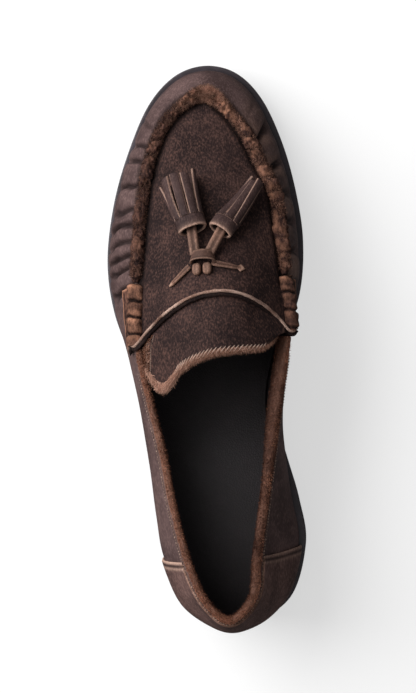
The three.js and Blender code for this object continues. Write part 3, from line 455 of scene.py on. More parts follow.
    def tongue(self, a: Array, b: Array) -> Array:
        """The tongue's upper face.

        Args:
            a: From 0 under the apron to 1 at the free edge.
            b: From 0 on the lateral side to 1 on the medial side.

        Returns:
            The points.
        """
        a, b = np.broadcast_arrays(np.asarray(a, float), np.asarray(b, float))
        table = np.array(self.TONGUE)
        across = 2 * b - 1
        under = self.wall_thickness + 2 * self.gap
        s, back, hidden, tucked = across * 0.9, self.arch_station, self.arch_station - 0.9, 0.3
        row = np.interp(across, table[:, 0], np.arange(len(table)))
        y = row_value(table[:, 2], row) * self.length
        x = row_value(table[:, 1], row) * self.ball
        z = self.feather_height(y) + row_value(table[:, 3], row) * self.throat
        start, end = self.under_apron(float(back), s, under), np.stack([x, y, z], axis=-1)
        on = unit(start - self.under_apron(back - 0.3, s, under))
        reach = np.linalg.norm(end - start, axis=-1, keepdims=True) / 3
        t = np.clip((a - tucked) / (1 - tucked), 0, 1)[..., None]
        free = (1 - t) ** 3 * start + 3 * (1 - t) ** 2 * t * (start + on * reach)
        free = free + 3 * (1 - t) * t**2 * (end + np.array([0, 0.96, -0.12]) * reach) + t**3 * end
        lying = self.under_apron(hidden + (back - hidden) * np.minimum(a / tucked, 1), s, under)
        return np.where((a <= tucked)[..., None], lying, free)


# Making meshes


@dataclass
class Skin:
    """A surface over a grid of rows and columns, in the shoe's millimetres.

    A closed direction repeats its first line as its last. The marks are numbers that the finishes read.
    """

    points: Array
    closed_rows: bool = False
    closed_columns: bool = False
    marks: dict[str, Array] = field(default_factory=dict)

    def slope(self, axis: int, closed: bool) -> Array:
        """The direction along one axis of the grid at every point."""
        if not closed:
            return np.gradient(self.points, axis=axis)
        core = np.delete(self.points, -1, axis)
        step = np.roll(core, -1, axis) - np.roll(core, 1, axis)
        return np.concatenate([step, np.take(step, [0], axis)], axis)

    def normals(self) -> Array:
        """Unit normals, on the side that the rows and the columns make by the right hand."""
        return unit(np.cross(self.slope(0, self.closed_rows), self.slope(1, self.closed_columns)))

    def raised(self, relief: Array, outwards: Array) -> "Skin":
        """The surface moved out along its normals.

        Args:
            relief: How far, in millimetres, for each point; below 0 is inwards.
            outwards: Directions that say which way is out.

        Returns:
            The moved surface with the same marks.
        """
        normals = self.normals()
        side = 1.0 if float(np.sum(normals * outwards)) > 0 else -1.0
        moved = self.points + normals * (side * relief)[..., None]
        return Skin(moved, self.closed_rows, self.closed_columns, self.marks)

    def bmesh(self, last: Last) -> bmesh.types.BMesh:
        """The surface as a grid of faces in the frame's metres, with its closed directions joined."""
        rows, columns = self.points.shape[:2]
        bm = bmesh.new()
        bmesh.ops.create_grid(bm, x_segments=rows - 1, y_segments=columns - 1, size=1.0)
        mesh = bpy.data.meshes.new("grid")
        bm.to_mesh(mesh)
        bm.free()
        flat = np.zeros(len(mesh.vertices) * 3, np.float32)
        mesh.vertices.foreach_get("co", flat)
        flat = flat.reshape(-1, 3)
        i = np.rint((flat[:, 0] + 1) / 2 * (rows - 1)).astype(int)
        j = np.rint((flat[:, 1] + 1) / 2 * (columns - 1)).astype(int)
        placed = last.place(self.points[i, j]).astype(np.float32)
        mesh.vertices.foreach_set("co", placed.ravel())
        for name, mark in self.marks.items():
            layer = mesh.attributes.new(name, "FLOAT", "POINT")
            layer.data.foreach_set("value", mark[i, j].astype(np.float32))
        bm = bmesh.new()
        bm.from_mesh(mesh)
        bpy.data.meshes.remove(mesh)
        bmesh.ops.remove_doubles(bm, verts=bm.verts, dist=1e-6)
        return bm


class Workshop:
    """Turns meshes into finished pieces that ride on the shoe."""

    def __init__(self, last: Last) -> None:
        """Keeps the last that places every mesh."""
        self.last = last
        self.count = 0

    def mesh(self, bm: bmesh.types.BMesh, name: str, smooth_angle: float | None = None) -> bpy.types.Mesh:
        """A mesh with smooth shading from a bmesh, which is freed.

        Args:
            bm: The shape.
            name: The name of the mesh.
            smooth_angle: Edges sharper than this stay hard, in degrees; none do if it is left out.

        Returns:
            The mesh.
        """
        mesh = bpy.data.meshes.new(name)
        bm.to_mesh(mesh)
        bm.free()
        mesh.shade_smooth()
        if smooth_angle is not None:
            mesh.set_sharp_from_angle(angle=math.radians(smooth_angle))
        return mesh

    def piece(
        self,
        name: str,
        mesh: bpy.types.Mesh,
        finishes: list[Finish],
        slot: Slot,
        nodes: tuple[str, ...] = (),
    ) -> bpy.types.Object:
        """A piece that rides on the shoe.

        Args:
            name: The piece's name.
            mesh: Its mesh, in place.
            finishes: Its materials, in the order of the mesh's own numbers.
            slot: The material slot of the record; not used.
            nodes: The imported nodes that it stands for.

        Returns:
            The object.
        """
        obj = bpy.data.objects.new(name, mesh)
        bpy.context.scene.collection.objects.link(obj)
        for finish in finishes:
            mesh.materials.append(finish)
        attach(obj, "root")
        if nodes:
            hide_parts(*nodes)
        self.count += 1
        LOG.info("piece %s: %d faces", name, len(mesh.polygons))
        return obj

    def sheet(self, skin: Skin, outwards: Array) -> bmesh.types.BMesh:
        """A surface as a bmesh whose faces look the way of outwards, one direction for each point."""
        bm = skin.bmesh(self.last)
        if float(np.sum(skin.normals() * outwards)) < 0:
            bmesh.ops.recalc_face_normals(bm, faces=bm.faces)
        bm.normal_update()
        placed = self.last.place(skin.points).reshape(-1, 3)
        wanted = outwards.reshape(-1, 3)
        bm.faces.ensure_lookup_table()
        face = bm.faces[len(bm.faces) // 2]
        near = int(np.argmin(np.linalg.norm(placed - np.array(face.calc_center_median()), axis=1)))
        if face.normal.dot(Vector(wanted[near])) < 0:
            bmesh.ops.reverse_faces(bm, faces=bm.faces)
        return bm

    def closed(self, bm: bmesh.types.BMesh, end_material: int = 0) -> bmesh.types.BMesh:
        """Fills the open ends of a tube and turns its faces outwards."""
        open_edges = [edge for edge in bm.edges if edge.is_boundary]
        if open_edges:
            made = bmesh.ops.holes_fill(bm, edges=open_edges, sides=0)
            for face in made["faces"]:
                face.material_index = end_material
        bmesh.ops.recalc_face_normals(bm, faces=bm.faces)
        return bm

    def join(self, parts: list[bmesh.types.BMesh], name: str, smooth_angle: float) -> bpy.types.Mesh:
        """Several shapes as one mesh, whose edges stay hard above an angle in degrees."""
        whole = bmesh.new()
        for part in parts:
            mesh = bpy.data.meshes.new("part")
            part.to_mesh(mesh)
            part.free()
            whole.from_mesh(mesh)
            bpy.data.meshes.remove(mesh)
        return self.mesh(whole, name, smooth_angle)

    def solid(self, name: str, skin: Skin, finish: Finish, slot: Slot, *nodes: str) -> None:
        """A tube with its ends filled, as a piece of one finish."""
        self.piece(name, self.mesh(self.closed(skin.bmesh(self.last)), name), [finish], slot, nodes)

    def panel(
        self,
        name: str,
        skin: Skin,
        outwards: Array,
        finishes: list[Finish],
        slot: Slot,
        node: str,
        thickness: float,
        inside: int = 0,
        rim: int = 0,
    ) -> None:
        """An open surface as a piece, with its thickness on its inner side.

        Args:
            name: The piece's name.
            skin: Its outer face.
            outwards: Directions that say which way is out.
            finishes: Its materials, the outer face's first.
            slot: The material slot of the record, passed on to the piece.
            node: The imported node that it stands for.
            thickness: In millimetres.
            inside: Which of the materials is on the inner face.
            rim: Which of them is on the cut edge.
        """
        piece = self.piece(name, self.mesh(self.sheet(skin, outwards), name), finishes, slot, (node,))
        wall = piece.modifiers.new("thickness", "SOLIDIFY")
        wall.thickness, wall.offset = thickness * MM, -1
        wall.material_offset, wall.material_offset_rim = inside, rim


@dataclass
class Course:
    """A line through space with a side and an up direction at each point, in millimetres."""

    points: Array
    side: Array
    up: Array

    @classmethod
    def along(cls, points: Array, up: Array) -> "Course":
        """A course through points, with its up direction squared to it."""
        forward = unit(np.gradient(points, axis=0))
        up = np.broadcast_to(np.asarray(up, float), points.shape)
        side = unit(np.cross(forward, up))
        return cls(points, side, unit(np.cross(side, forward)))

    def lifted(self, up: float) -> "Course":
        """The course moved along its up direction."""
        return Course(self.points + self.up * up, self.side, self.up)

    def tube(self, across: Array | float, high: Array | float, sides: int, power: float = 1.0) -> Skin:
        """A closed tube along the course.

        Args:
            across: Half its width, one number or one for each point.
            high: Half its height, likewise.
            sides: How many faces go round it.
            power: 1 for an ellipse, and less for a section with squarer shoulders.

        Returns:
            The surface, open at both ends.
        """
        across, high = (np.broadcast_to(half, len(self.points))[:, None] for half in (across, high))
        cos, sin = np.cos(ring_angles(sides)), np.sin(ring_angles(sides))
        cos, sin = np.sign(cos) * np.abs(cos) ** power, np.sign(sin) * np.abs(sin) ** power
        wide = self.side[:, None] * (cos * across)[..., None]
        tall = self.up[:, None] * (sin * high)[..., None]
        return Skin(self.points[:, None] + wide + tall, closed_columns=True)


def resampled(points: Array, count: int) -> Array:
    """A line through points, rounded by a cubic and spaced evenly."""
    k = np.linspace(0, len(points) - 1, max(count * 4, 64))
    dense = np.stack([row_value(points[:, n], k) for n in range(points.shape[1])], axis=-1)
    run = runs(dense)
    where = np.linspace(0, run[-1], count)
    return np.stack([np.interp(where, run, dense[:, n]) for n in range(points.shape[1])], axis=-1)


def hair_axes(
    z: Array, length: Array, width: float, bend: Span, rng: np.random.Generator
) -> tuple[Array, Array]:
    """How hairs lie across the way that they grow.

    Args:
        z: The direction and length that each hair grows by.
        length: How far each one bends over, before its share.
        width: Their width, in millimetres.
        bend: The least and the greatest share of the length that they bend by.
        rng: The source of chance.

    Returns:
        Each hair's X and Y directions.
    """
    x = unit(np.cross(z, rng.normal(0, 1, z.shape))) * width
    return x, unit(np.cross(z, x)) * length[:, None] * rng.uniform(*bend, len(z))[:, None]


class Template:
    """One small shape that is repeated many times in one mesh, such as a hair or a stitch."""

    def __init__(self, bm: bmesh.types.BMesh) -> None:
        """Reads the shape's points and faces; the bmesh is freed."""
        bm.verts.ensure_lookup_table()
        bm.verts.index_update()
        self.points = np.array([v.co for v in bm.verts])
        self.faces = [[v.index for v in face.verts] for face in bm.faces]
        bm.free()

    @classmethod
    def hair(cls) -> "Template":
        """A hair of length 1 and width 1 that bends over and runs to a point."""
        bm = bmesh.new()
        bmesh.ops.create_grid(bm, x_segments=1, y_segments=3, size=1.0)
        for v in bm.verts:
            t = (v.co.y + 1) / 2
            v.co = Vector((v.co.x / 2 * (1 - t**2 * 0.92), 0.35 * t * t, t))
        return cls(bm)

    @classmethod
    def stitch(cls) -> "Template":
        """A stitch of length 1 along X and thickness 1, like a grain of rice."""
        bm = bmesh.new()
        bmesh.ops.create_uvsphere(bm, u_segments=8, v_segments=6, radius=0.5)
        for v in bm.verts:
            v.co = Vector((v.co.z, v.co.x, v.co.y))
        return cls(bm)

    def repeated(
        self, name: str, origins: Array, x: Array, y: Array, z: Array, tones_and_painted_light: Array, last: Last
    ) -> bpy.types.Mesh:
        """Many copies as one mesh.

        Args:
            name: The name of the mesh.
            origins: Where each copy's own origin goes.
            x: Each copy's X direction, with its length in millimetres.
            y: Each copy's Y direction.
            z: Each copy's Z direction.
            tones_and_painted_light: A number from 0 to 1 for each copy, which its finish reads.
            last: The last that places them.

        Returns:
            The mesh.
        """
        p = self.points
        placed = origins[:, None] + p[None, :, :1] * x[:, None] + p[None, :, 1:2] * y[:, None]
        placed = placed + p[None, :, 2:] * z[:, None]
        count = len(p)
        faces = [[i * count + n for n in face] for i in range(len(origins)) for face in self.faces]
        mesh = bpy.data.meshes.new(name)
        mesh.from_pydata(last.place(placed.reshape(-1, 3)), [], faces)
        layer = mesh.attributes.new("tone_and_painted_light", "FLOAT", "POINT")
        layer.data.foreach_set("value", np.repeat(tones_and_painted_light, count).astype(np.float32))
        mesh.shade_smooth()
        return mesh


# Finishes


class Value:
    """A socket of a finish's nodes that takes part in Python's sums."""

    def __init__(self, dye: "Dye", socket: bpy.types.NodeSocket) -> None:
        """Keeps the finish and the socket."""
        self.dye = dye
        self.socket = socket

    def __add__(self, other: "Value | float") -> "Value":
        """The sum of two values."""
        return self.dye.maths("ADD", self, other)

    def __sub__(self, other: "Value | float") -> "Value":
        """The difference of two values."""
        return self.dye.maths("SUBTRACT", self, other)

    def __rsub__(self, other: float) -> "Value":
        """A number less this value."""
        return self.dye.maths("SUBTRACT", other, self)

    def __mul__(self, other: "Value | float") -> "Value":
        """The product of two values."""
        return self.dye.maths("MULTIPLY", self, other)

    def __pow__(self, other: float) -> "Value":
        """The value to a power."""
        return self.dye.maths("POWER", self, other)

    __radd__ = __add__
    __rmul__ = __mul__


class Dye:
    """The nodes of one finish, around one Principled shader."""

    def __init__(self, name: str) -> None:
        """Starts an empty finish with its shader and its output."""
        self.material = bpy.data.materials.new(name)
        self.material.use_nodes = True
        self.tree = self.material.node_tree
        self.tree.nodes.clear()
        self.shader = self.node("ShaderNodeBsdfPrincipled")
        output = self.node("ShaderNodeOutputMaterial")
        self.tree.links.new(self.shader.outputs[0], output.inputs["Surface"])

    def node(self, kind: str, settings: dict | None = None, values: dict | None = None) -> bpy.types.Node:
        """One node.

        Args:
            kind: Its Blender type.
            settings: Its own settings; "stops" gives a ramp's places and colours.
            values: The numbers, colours or values for its sockets, by name or number.

        Returns:
            The node.
        """
        node = self.tree.nodes.new(kind)
        for key, setting in (settings or {}).items():
            if key == "stops":
                ramp = node.color_ramp
                while len(ramp.elements) > 1:
                    ramp.elements.remove(ramp.elements[-1])
                for n, (at, colour) in enumerate(setting):
                    element = ramp.elements[0] if n == 0 else ramp.elements.new(at)
                    element.position = at
                    element.color = (*colour, 1.0)
            else:
                setattr(node, key, setting)
        for key, value in (values or {}).items():
            if isinstance(value, Value):
                self.tree.links.new(value.socket, node.inputs[key])
            elif isinstance(value, tuple) and node.inputs[key].type == "RGBA":
                node.inputs[key].default_value = (*value, 1.0)
            else:
                node.inputs[key].default_value = value
        return node

    def maths(self, operation: str, *values: "Value | float") -> Value:
        """A sum on values, held as one Math node."""
        node = self.node("ShaderNodeMath", {"operation": operation}, dict(enumerate(values)))
        return Value(self, node.outputs[0])

    def mix(self, share: "Value | float", a: "Value | Colour", b: "Value | Colour") -> Value:
        """A blend of two colours."""
        node = self.node("ShaderNodeMix", {"data_type": "RGBA"}, {0: share, 6: a, 7: b})
        return Value(self, node.outputs[2])

    def step(self, value: Value, low: float, high: float) -> Value:
        """0 below low and 1 above high, smooth between."""
        settings = {"interpolation_type": "SMOOTHSTEP"}
        node = self.node("ShaderNodeMapRange", settings, {"Value": value, "From Min": low, "From Max": high})
        return Value(self, node.outputs["Result"])

    def place(self, turn: tuple = (0.0, 0.0, 0.0), scale: tuple = (1.0, 1.0, 1.0)) -> Value:
        """Object coordinates, turned and stretched."""
        coordinates = self.node("ShaderNodeTexCoord")
        link = Value(self, coordinates.outputs["Object"])
        mapping = self.node("ShaderNodeMapping", {}, {"Vector": link, "Rotation": turn, "Scale": scale})
        return Value(self, mapping.outputs["Vector"])

    def noise(self, where: Value, size: float, detail: float = 2.0, rough: float = 0.5) -> Value:
        """Noise whose swells are about size millimetres wide."""
        values = {"Vector": where, "Scale": 1 / (size * MM), "Detail": detail, "Roughness": rough}
        node = self.node("ShaderNodeTexNoise", {}, values)
        return Value(self, node.outputs["Fac"])

    def mark(self, name: str) -> Value:
        """A mark of the mesh: 0 where the mesh has none."""
        node = self.node("ShaderNodeAttribute", {"attribute_type": "GEOMETRY", "attribute_name": name})
        return Value(self, node.outputs["Fac"])

    def feed(self, **values: "Value | float | Colour") -> None:
        """Sets the shader's sockets; an underscore stands for a space."""
        for key, value in values.items():
            socket = self.shader.inputs[key.replace("_", " ")]
            if isinstance(value, Value):
                self.tree.links.new(value.socket, socket)
            elif isinstance(value, tuple) and len(value) == 3 and socket.type == "RGBA":
                socket.default_value = (*value, 1.0)
            else:
                socket.default_value = value

    def relief(self, height: Value, depth: float) -> None:
        """Bumps the surface by a height from 0 to 1 over a depth in millimetres."""
        node = self.node("ShaderNodeBump", {}, {"Height": height, "Distance": depth * MM, "Strength": 1.0})
        self.feed(Normal=Value(self, node.outputs["Normal"]))


@dataclass(frozen=True)
class Leather:
    """Brushed or rubbed leather: a clouded body colour, light flecks, worn places that also carry painted
    highlights, and painted shade in creases and hollows.
    """

    name: str
    deep: Colour
    body: Colour
    fleck: Colour
    # The worn colour is also the colour of painted highlights.
    worn: Colour
    fleck_size: float = 1.0
    fleck_stretch: float = 0.42
    fleck_low: float = 0.5
    fleck_high: float = 0.72
    fleck_share: float = 0.8
    roughness: float = 0.7
    specular: float = 0.3
    depth: float = 0.35

    def material(self) -> bpy.types.Material:
        """The finish as a material."""
        dye = Dye(self.name)
        hairs = dye.place(turn=(0.0, 0.0, 0.35), scale=(1.0, self.fleck_stretch, 1.0))
        plain = dye.place()
        clouds = dye.noise(plain, 17.0, detail=3.0)
        patches = dye.noise(plain, 5.5, detail=2.0)
        hair = dye.noise(hairs, self.fleck_size, detail=3.0, rough=0.6)
        fine = dye.noise(hairs, self.fleck_size * 0.42, detail=2.0)
        rub, painted_shade_and_dark_marks = dye.mark("rub"), dye.mark("painted_shade_and_dark_marks")
        tuned = hair + (patches - 0.5) * 0.22 + (clouds - 0.5) * 0.25
        fleck = dye.step(tuned, self.fleck_low, self.fleck_high)
        ground = dye.mix(dye.step(clouds + (fine - 0.5) * 0.6, 0.3, 0.7), self.deep, self.body)
        coloured = dye.mix(fleck * self.fleck_share, ground, self.fleck)
        # Towards the worn colour where the mark asks: real wear and pale raw edges, and painted highlights on
        # crests and on lit upper faces.
        worn = dye.mix(rub * (dye.step(fine + hair - 0.5, 0.25, 0.65) * 0.5 + 0.5), coloured, self.worn)
        # Painted shade: darker where the mark asks, in creases, folds, grooves, hollows and undersides; on the
        # wing patch the same mark is a real dark mottle.
        dark = dye.mix(painted_shade_and_dark_marks * 0.85, worn, tuple(0.28 * c for c in self.deep))
        dye.feed(Base_Color=dark, Specular_IOR_Level=self.specular)
        dye.feed(Roughness=(self.roughness - 0.12) + fine * 0.24)
        dye.relief(hair * 0.6 + fine * 0.4, self.depth)
        return dye.material


@dataclass(frozen=True)
class Fibre:
    """Hairs or threads whose colour runs from dark to pale by a number for each: their own colour, and on some
    hairs painted light and shade.
    """

    name: str
    dark: Colour
    pale: Colour
    roughness: float = 0.75
    specular: float = 0.25

    def material(self) -> bpy.types.Material:
        """The finish as a material."""
        dye = Dye(self.name)
        where = dye.place()
        # The number holds each hair's own colour, with painted highlight on the seam's top and painted shade on
        # the collar's medial and inner sides.
        colour = dye.mix(dye.mark("tone_and_painted_light"), self.dark, self.pale)
        speckled = dye.mix(dye.noise(where, 0.5) * 0.5, colour, tuple(0.5 * c for c in self.dark))
        dye.feed(Base_Color=speckled, Specular_IOR_Level=self.specular)
        dye.feed(Roughness=(self.roughness - 0.1) + dye.noise(where, 0.3) * 0.2)
        return dye.material


@dataclass(frozen=True)
class Rubber:
    """Black rubber, satin, with a faint moulded bloom and a painted shade line where a mark says so."""

    name: str
    colour: Colour
    bloom: Colour
    roughness: float = 0.5
    specular: float = 0.45
    depth: float = 0.06

    def material(self) -> bpy.types.Material:
        """The finish as a material."""
        dye = Dye(self.name)
        where = dye.place()
        dust, grain = dye.noise(where, 9.0, detail=4.0), dye.noise(where, 0.7, detail=2.0)
        shade = dye.mix(dye.step(dust + (grain - 0.5) * 0.3, 0.42, 0.7), self.colour, self.bloom)
        # Painted shade: a darker line where the mark asks.
        lined = dye.mix(dye.mark("painted_shade_and_dark_marks"), shade, tuple(0.25 * c for c in self.colour))
        dye.feed(Base_Color=lined, Specular_IOR_Level=self.specular)
        dye.feed(Roughness=(self.roughness - 0.08) + dust * 0.16)
        dye.relief(grain, self.depth)
        return dye.material


@dataclass(frozen=True)
class Smooth:
    """Smooth lining or sock leather with a fine pored grain."""

    name: str
    colour: Colour
    tint: Colour
    roughness: float = 0.6
    specular: float = 0.3
    depth: float = 0.08
    pores_a_metre: float = 900.0

    def material(self) -> bpy.types.Material:
        """The finish as a material."""
        dye = Dye(self.name)
        where = dye.place()
        values = {"Vector": where, "Scale": self.pores_a_metre}
        cells = dye.node("ShaderNodeTexVoronoi", {"feature": "DISTANCE_TO_EDGE"}, values)
        pores = dye.step(Value(dye, cells.outputs["Distance"]), 0.02, 0.25)
        cloud = dye.noise(where, 12.0, detail=3.0)
        colour = dye.mix(dye.step(cloud, 0.35, 0.7), self.colour, self.tint)
        dye.feed(Base_Color=dye.mix((1 - pores) * 0.35, colour, tuple(0.4 * c for c in self.colour)))
        dye.feed(Specular_IOR_Level=self.specular, Roughness=(self.roughness - 0.08) + cloud * 0.16)
        dye.relief(pores, self.depth)
        return dye.material


class Finishes:
    """Every finish of the shoe, made once."""

    def __init__(self) -> None:
        """Makes the materials."""
        self.brushed = Leather(
            "brushed_leather", deep=(0.015, 0.0088, 0.0088), body=(0.026, 0.015, 0.0144),
            fleck=(0.104, 0.054, 0.043), worn=(0.34, 0.195, 0.145),
            fleck_size=0.72, fleck_stretch=0.5, fleck_low=0.4, fleck_high=0.78, fleck_share=0.9,
            roughness=0.8, specular=0.1, depth=0.3,
        ).material()
        # The walls' leather is lighter than the apron's: partly its smoother face, partly painted sheen for the
        # light that the walls catch.
        self.wall = Leather(
            "wall_leather_with_painted_sheen", deep=(0.055, 0.0325, 0.0315), body=(0.09, 0.0545, 0.052),
            fleck=(0.185, 0.117, 0.108), worn=(0.27, 0.16, 0.12),
            fleck_size=0.75, fleck_low=0.42, fleck_high=0.74, fleck_share=0.65,
            roughness=0.72, specular=0.14, depth=0.25,
        ).material()
        self.counter = Leather(
            "counter_leather", deep=(0.056, 0.031, 0.028), body=(0.1, 0.056, 0.05),
            fleck=(0.2, 0.118, 0.103), worn=(0.52, 0.34, 0.265),
            fleck_size=0.8, fleck_stretch=0.35, fleck_low=0.42, roughness=0.75, specular=0.12, depth=0.3,
        ).material()
        self.seam = Leather(
            "seam_leather", deep=(0.015, 0.0076, 0.007), body=(0.042, 0.0205, 0.0172),
            fleck=(0.13, 0.06, 0.043), worn=(0.44, 0.21, 0.13),
            fleck_size=0.9, fleck_low=0.42, fleck_high=0.68, roughness=0.8, specular=0.1, depth=0.45,
        ).material()
        self.raw = Leather(
            "raw_edge", deep=(0.085, 0.044, 0.032), body=(0.225, 0.126, 0.094),
            fleck=(0.38, 0.24, 0.19), worn=(0.54, 0.37, 0.3), fleck_size=0.6,
            roughness=0.8, specular=0.12, depth=0.3,
        ).material()
        self.tassel = Leather(
            "tassel_leather", deep=(0.026, 0.015, 0.0142), body=(0.054, 0.0305, 0.0285),
            fleck=(0.112, 0.067, 0.06), worn=(0.44, 0.275, 0.21),
            fleck_size=0.6, fleck_stretch=0.25, fleck_low=0.46, fleck_share=0.6,
            roughness=0.65, specular=0.12, depth=0.16,
        ).material()
        self.tie = Leather(
            "tie_leather", deep=(0.072, 0.038, 0.029), body=(0.16, 0.08, 0.056),
            fleck=(0.29, 0.16, 0.116), worn=(0.46, 0.28, 0.205), fleck_size=0.7,
            roughness=0.65, specular=0.14, depth=0.18,
        ).material()
        self.band = Leather(
            "collar_band", deep=(0.054, 0.0245, 0.0175), body=(0.135, 0.0625, 0.0425),
            fleck=(0.24, 0.12, 0.085), worn=(0.34, 0.19, 0.14), fleck_size=0.6,
            roughness=0.85, specular=0.1, depth=0.3,
        ).material()
        self.fur = Fibre("fur", dark=(0.05, 0.0185, 0.012), pale=(0.56, 0.25, 0.155), specular=0.1).material()
        self.nap = Fibre("nap", dark=(0.024, 0.0108, 0.0088), pale=(0.7, 0.37, 0.26), specular=0.1).material()
        self.pale_fur = Fibre(
            "pale_fur", dark=(0.17, 0.066, 0.037), pale=(0.8, 0.48, 0.36), specular=0.1,
        ).material()
        self.thread = Fibre(
            "thread", dark=(0.13, 0.084, 0.07), pale=(0.56, 0.39, 0.31), specular=0.1,
        ).material()
        self.rubber = Rubber(
            "rubber", colour=(0.024, 0.0165, 0.0215), bloom=(0.048, 0.0345, 0.045),
        ).material()
        self.stack = Rubber(
            "heel_stack", colour=(0.02, 0.018, 0.02), bloom=(0.036, 0.032, 0.035), roughness=0.42,
        ).material()
        self.sock = Smooth(
            "sock_leather", colour=(0.015, 0.0112, 0.0124), tint=(0.02, 0.015, 0.0165),
        ).material()
        self.lining = Smooth("lining", colour=(0.016, 0.012, 0.013), tint=(0.022, 0.0168, 0.018)).material()


@dataclass
class SubAssembly:
    """What every sub-assembly of the shoe is built with."""

    last: Last
    shop: Workshop
    finishes: Finishes


# The sole


@dataclass
class Sole(SubAssembly):
    """Midsole, outsole with its tread, heel block, top lift and insole."""

    outline_steps: int = 312
    strip: float = 4.0
    outsole_inset: float = 0.8
    heel_inset: float = 0.6
    heel_taper: float = 2.4
    breast_slope: float = 4.0
    lift_thickness: float = 5.0
    edge_round: float = 0.55
    groove_width: float = 1.8
    groove_depth: float = 1.0
    groove_pitch: float = 9.0
    groove_count: int = 7
    groove_slope: float = 0.2
    insole_thickness: float = 3.0
    sock_gap: float = 0.1

    # Insets from the midsole's upper edge, and how deep its face lies there.
    RIM_LINE = ((0.75, 0.0), (0.3, 0.35), (0.3, 0.0))

    def stations(self) -> Array:
        """The ring position of every step of the outline."""
        return np.arange(self.outline_steps) * (2 * self.last.toe_station / self.outline_steps)

    def outline(self, inset: float) -> Array:
        """The outline moved in."""
        return self.last.inset(self.stations(), np.full(self.outline_steps, inset))

    def slab(self, low: Array, high: Array, thickness: float, rims: tuple = ()) -> bmesh.types.BMesh:
        """A level slab of the sole's outline, in metres, with rounded edges.

        Args:
            low: The outline of its lower face.
            high: The outline of its upper face.
            thickness: Its height, in millimetres.
            rims: Insets from the upper edge and how deep the face lies there, for grooves along the rim.

        Returns:
            The shape.
        """
        bm = bmesh.new()
        bmesh.ops.create_circle(bm, cap_ends=True, segments=self.outline_steps, radius=1.0)
        bm.verts.ensure_lookup_table()
        bm.faces.ensure_lookup_table()
        start, target = (self.last.place(np.pad(plan, ((0, 0), (0, 1)))) for plan in (low, high))
        for v, point in zip(list(bm.faces[0].verts), start):
            v.co = Vector(point)
        made = bmesh.ops.extrude_face_region(bm, geom=list(bm.faces))
        upper = [g for g in made["geom"] if isinstance(g, bmesh.types.BMVert)]
        for v in upper:
            n = int(np.argmin(np.linalg.norm(start[:, :2] - np.array(v.co.xy), axis=1)))
            v.co = Vector((target[n, 0], target[n, 1], thickness * MM))
        bmesh.ops.recalc_face_normals(bm, faces=bm.faces)
        rim_edges = [e for e in bm.edges if len(e.link_faces) == 2 and e.calc_face_angle() > 1.0]
        rounding = {"offset": self.edge_round * MM, "offset_type": "OFFSET", "affect": "EDGES", "segments": 3}
        bmesh.ops.bevel(bm, geom=rim_edges, profile=0.5, material=-1, **rounding)
        for inset, depth in rims:
            top = max(bm.faces, key=lambda f: (round(f.calc_center_median().z, 5), f.calc_area()))
            bmesh.ops.inset_region(bm, faces=[top], thickness=inset * MM, use_even_offset=True)
            top = max((f for f in bm.faces if len(f.verts) > 50), key=lambda f: f.calc_center_median().z)
            for v in top.verts:
                v.co.z = (thickness - depth) * MM
        return bm

    def cut(self, bm: bmesh.types.BMesh, places: list[float]) -> None:
        """Cuts a shape across the shoe at places along it, in millimetres."""
        for y in places:
            at = (y + self.last.shift[1]) * MM
            bmesh.ops.bisect_plane(bm, geom=self.whole(bm), plane_co=(0, at, 0), plane_no=(0, 1, 0))

    def whole(self, bm: bmesh.types.BMesh) -> list:
        """Everything in a shape."""
        return [*bm.verts, *bm.edges, *bm.faces]

    def shaped(
        self,
        bm: bmesh.types.BMesh,
        thickness: float,
        low_at: Callable[[Array], Array],
        high_at: Callable[[Array], Array],
    ) -> None:
        """Moves a level slab between two heights that follow the shoe.

        Args:
            bm: The slab.
            thickness: Its height, in millimetres.
            low_at: The height of its lower face at a place along the shoe.
            high_at: The height of its upper face there.
        """
        places = np.array([v.co.y for v in bm.verts]) / MM - self.last.shift[1]
        lows, highs = low_at(places), high_at(places)
        for v, low, high in zip(bm.verts, lows, highs):
            z = v.co.z / MM
            v.co.z = (low + z if z < thickness / 2 else high + z - thickness) * MM

    def strips(self) -> list[float]:
        """The places of the cuts along the whole shoe."""
        return list(np.arange(3.0, self.last.length - 0.5, self.strip))

    def build_midsole(self) -> None:
        """The layer whose rim shows round the forefoot, with a fine line along its edge."""
        last, thickness = self.last, self.last.midsole_thickness
        plan = self.outline(0.0)
        bm = self.slab(plan, plan, thickness, self.RIM_LINE)
        self.cut(bm, self.strips())
        self.shaped(bm, thickness, lambda y: last.feather_height(y) - thickness, last.feather_height)
        mesh = self.shop.mesh(bm, "midsole_rim", 50)
        self.shop.piece("midsole_rim", mesh, [self.finishes.rubber], Slot.RUBBER, ("midsole",))

    def build_outsole(self) -> None:
        """The outsole with its arch and its tread of cross grooves under the ball."""
        last = self.last
        above, slope = last.midsole_thickness + last.gap, self.groove_slope
        thickness = last.forefoot - above
        outline = self.outline(self.outsole_inset)
        bm = self.slab(outline, outline, thickness)
        first = last.BODY_PROFILE[5][0] * last.length + self.groove_width / 2
        starts = [first + i * self.groove_pitch for i in range(self.groove_count)]
        grooves = [(start, start + self.groove_width) for start in starts]
        cuts = [y + d for a, b in grooves for y, d in ((a, -slope), (a, slope), (b, -slope), (b, slope))]
        self.cut(bm, self.strips() + cuts)
        self.shaped(bm, thickness, last.under_height, lambda y: last.feather_height(y) - above)
        for v in bm.verts:
            y = v.co.y / MM - last.shift[1]
            low = float(last.under_height(np.array(y)))
            if v.co.z / MM < low + self.groove_depth:
                for a, b in grooves:
                    if a + slope / 2 < y < b - slope / 2:
                        v.co.z += self.groove_depth * MM
        mesh = self.shop.mesh(bm, "outsole_tread", 40)
        self.shop.piece("outsole_tread", mesh, [self.finishes.rubber], Slot.RUBBER, ("outsole",))

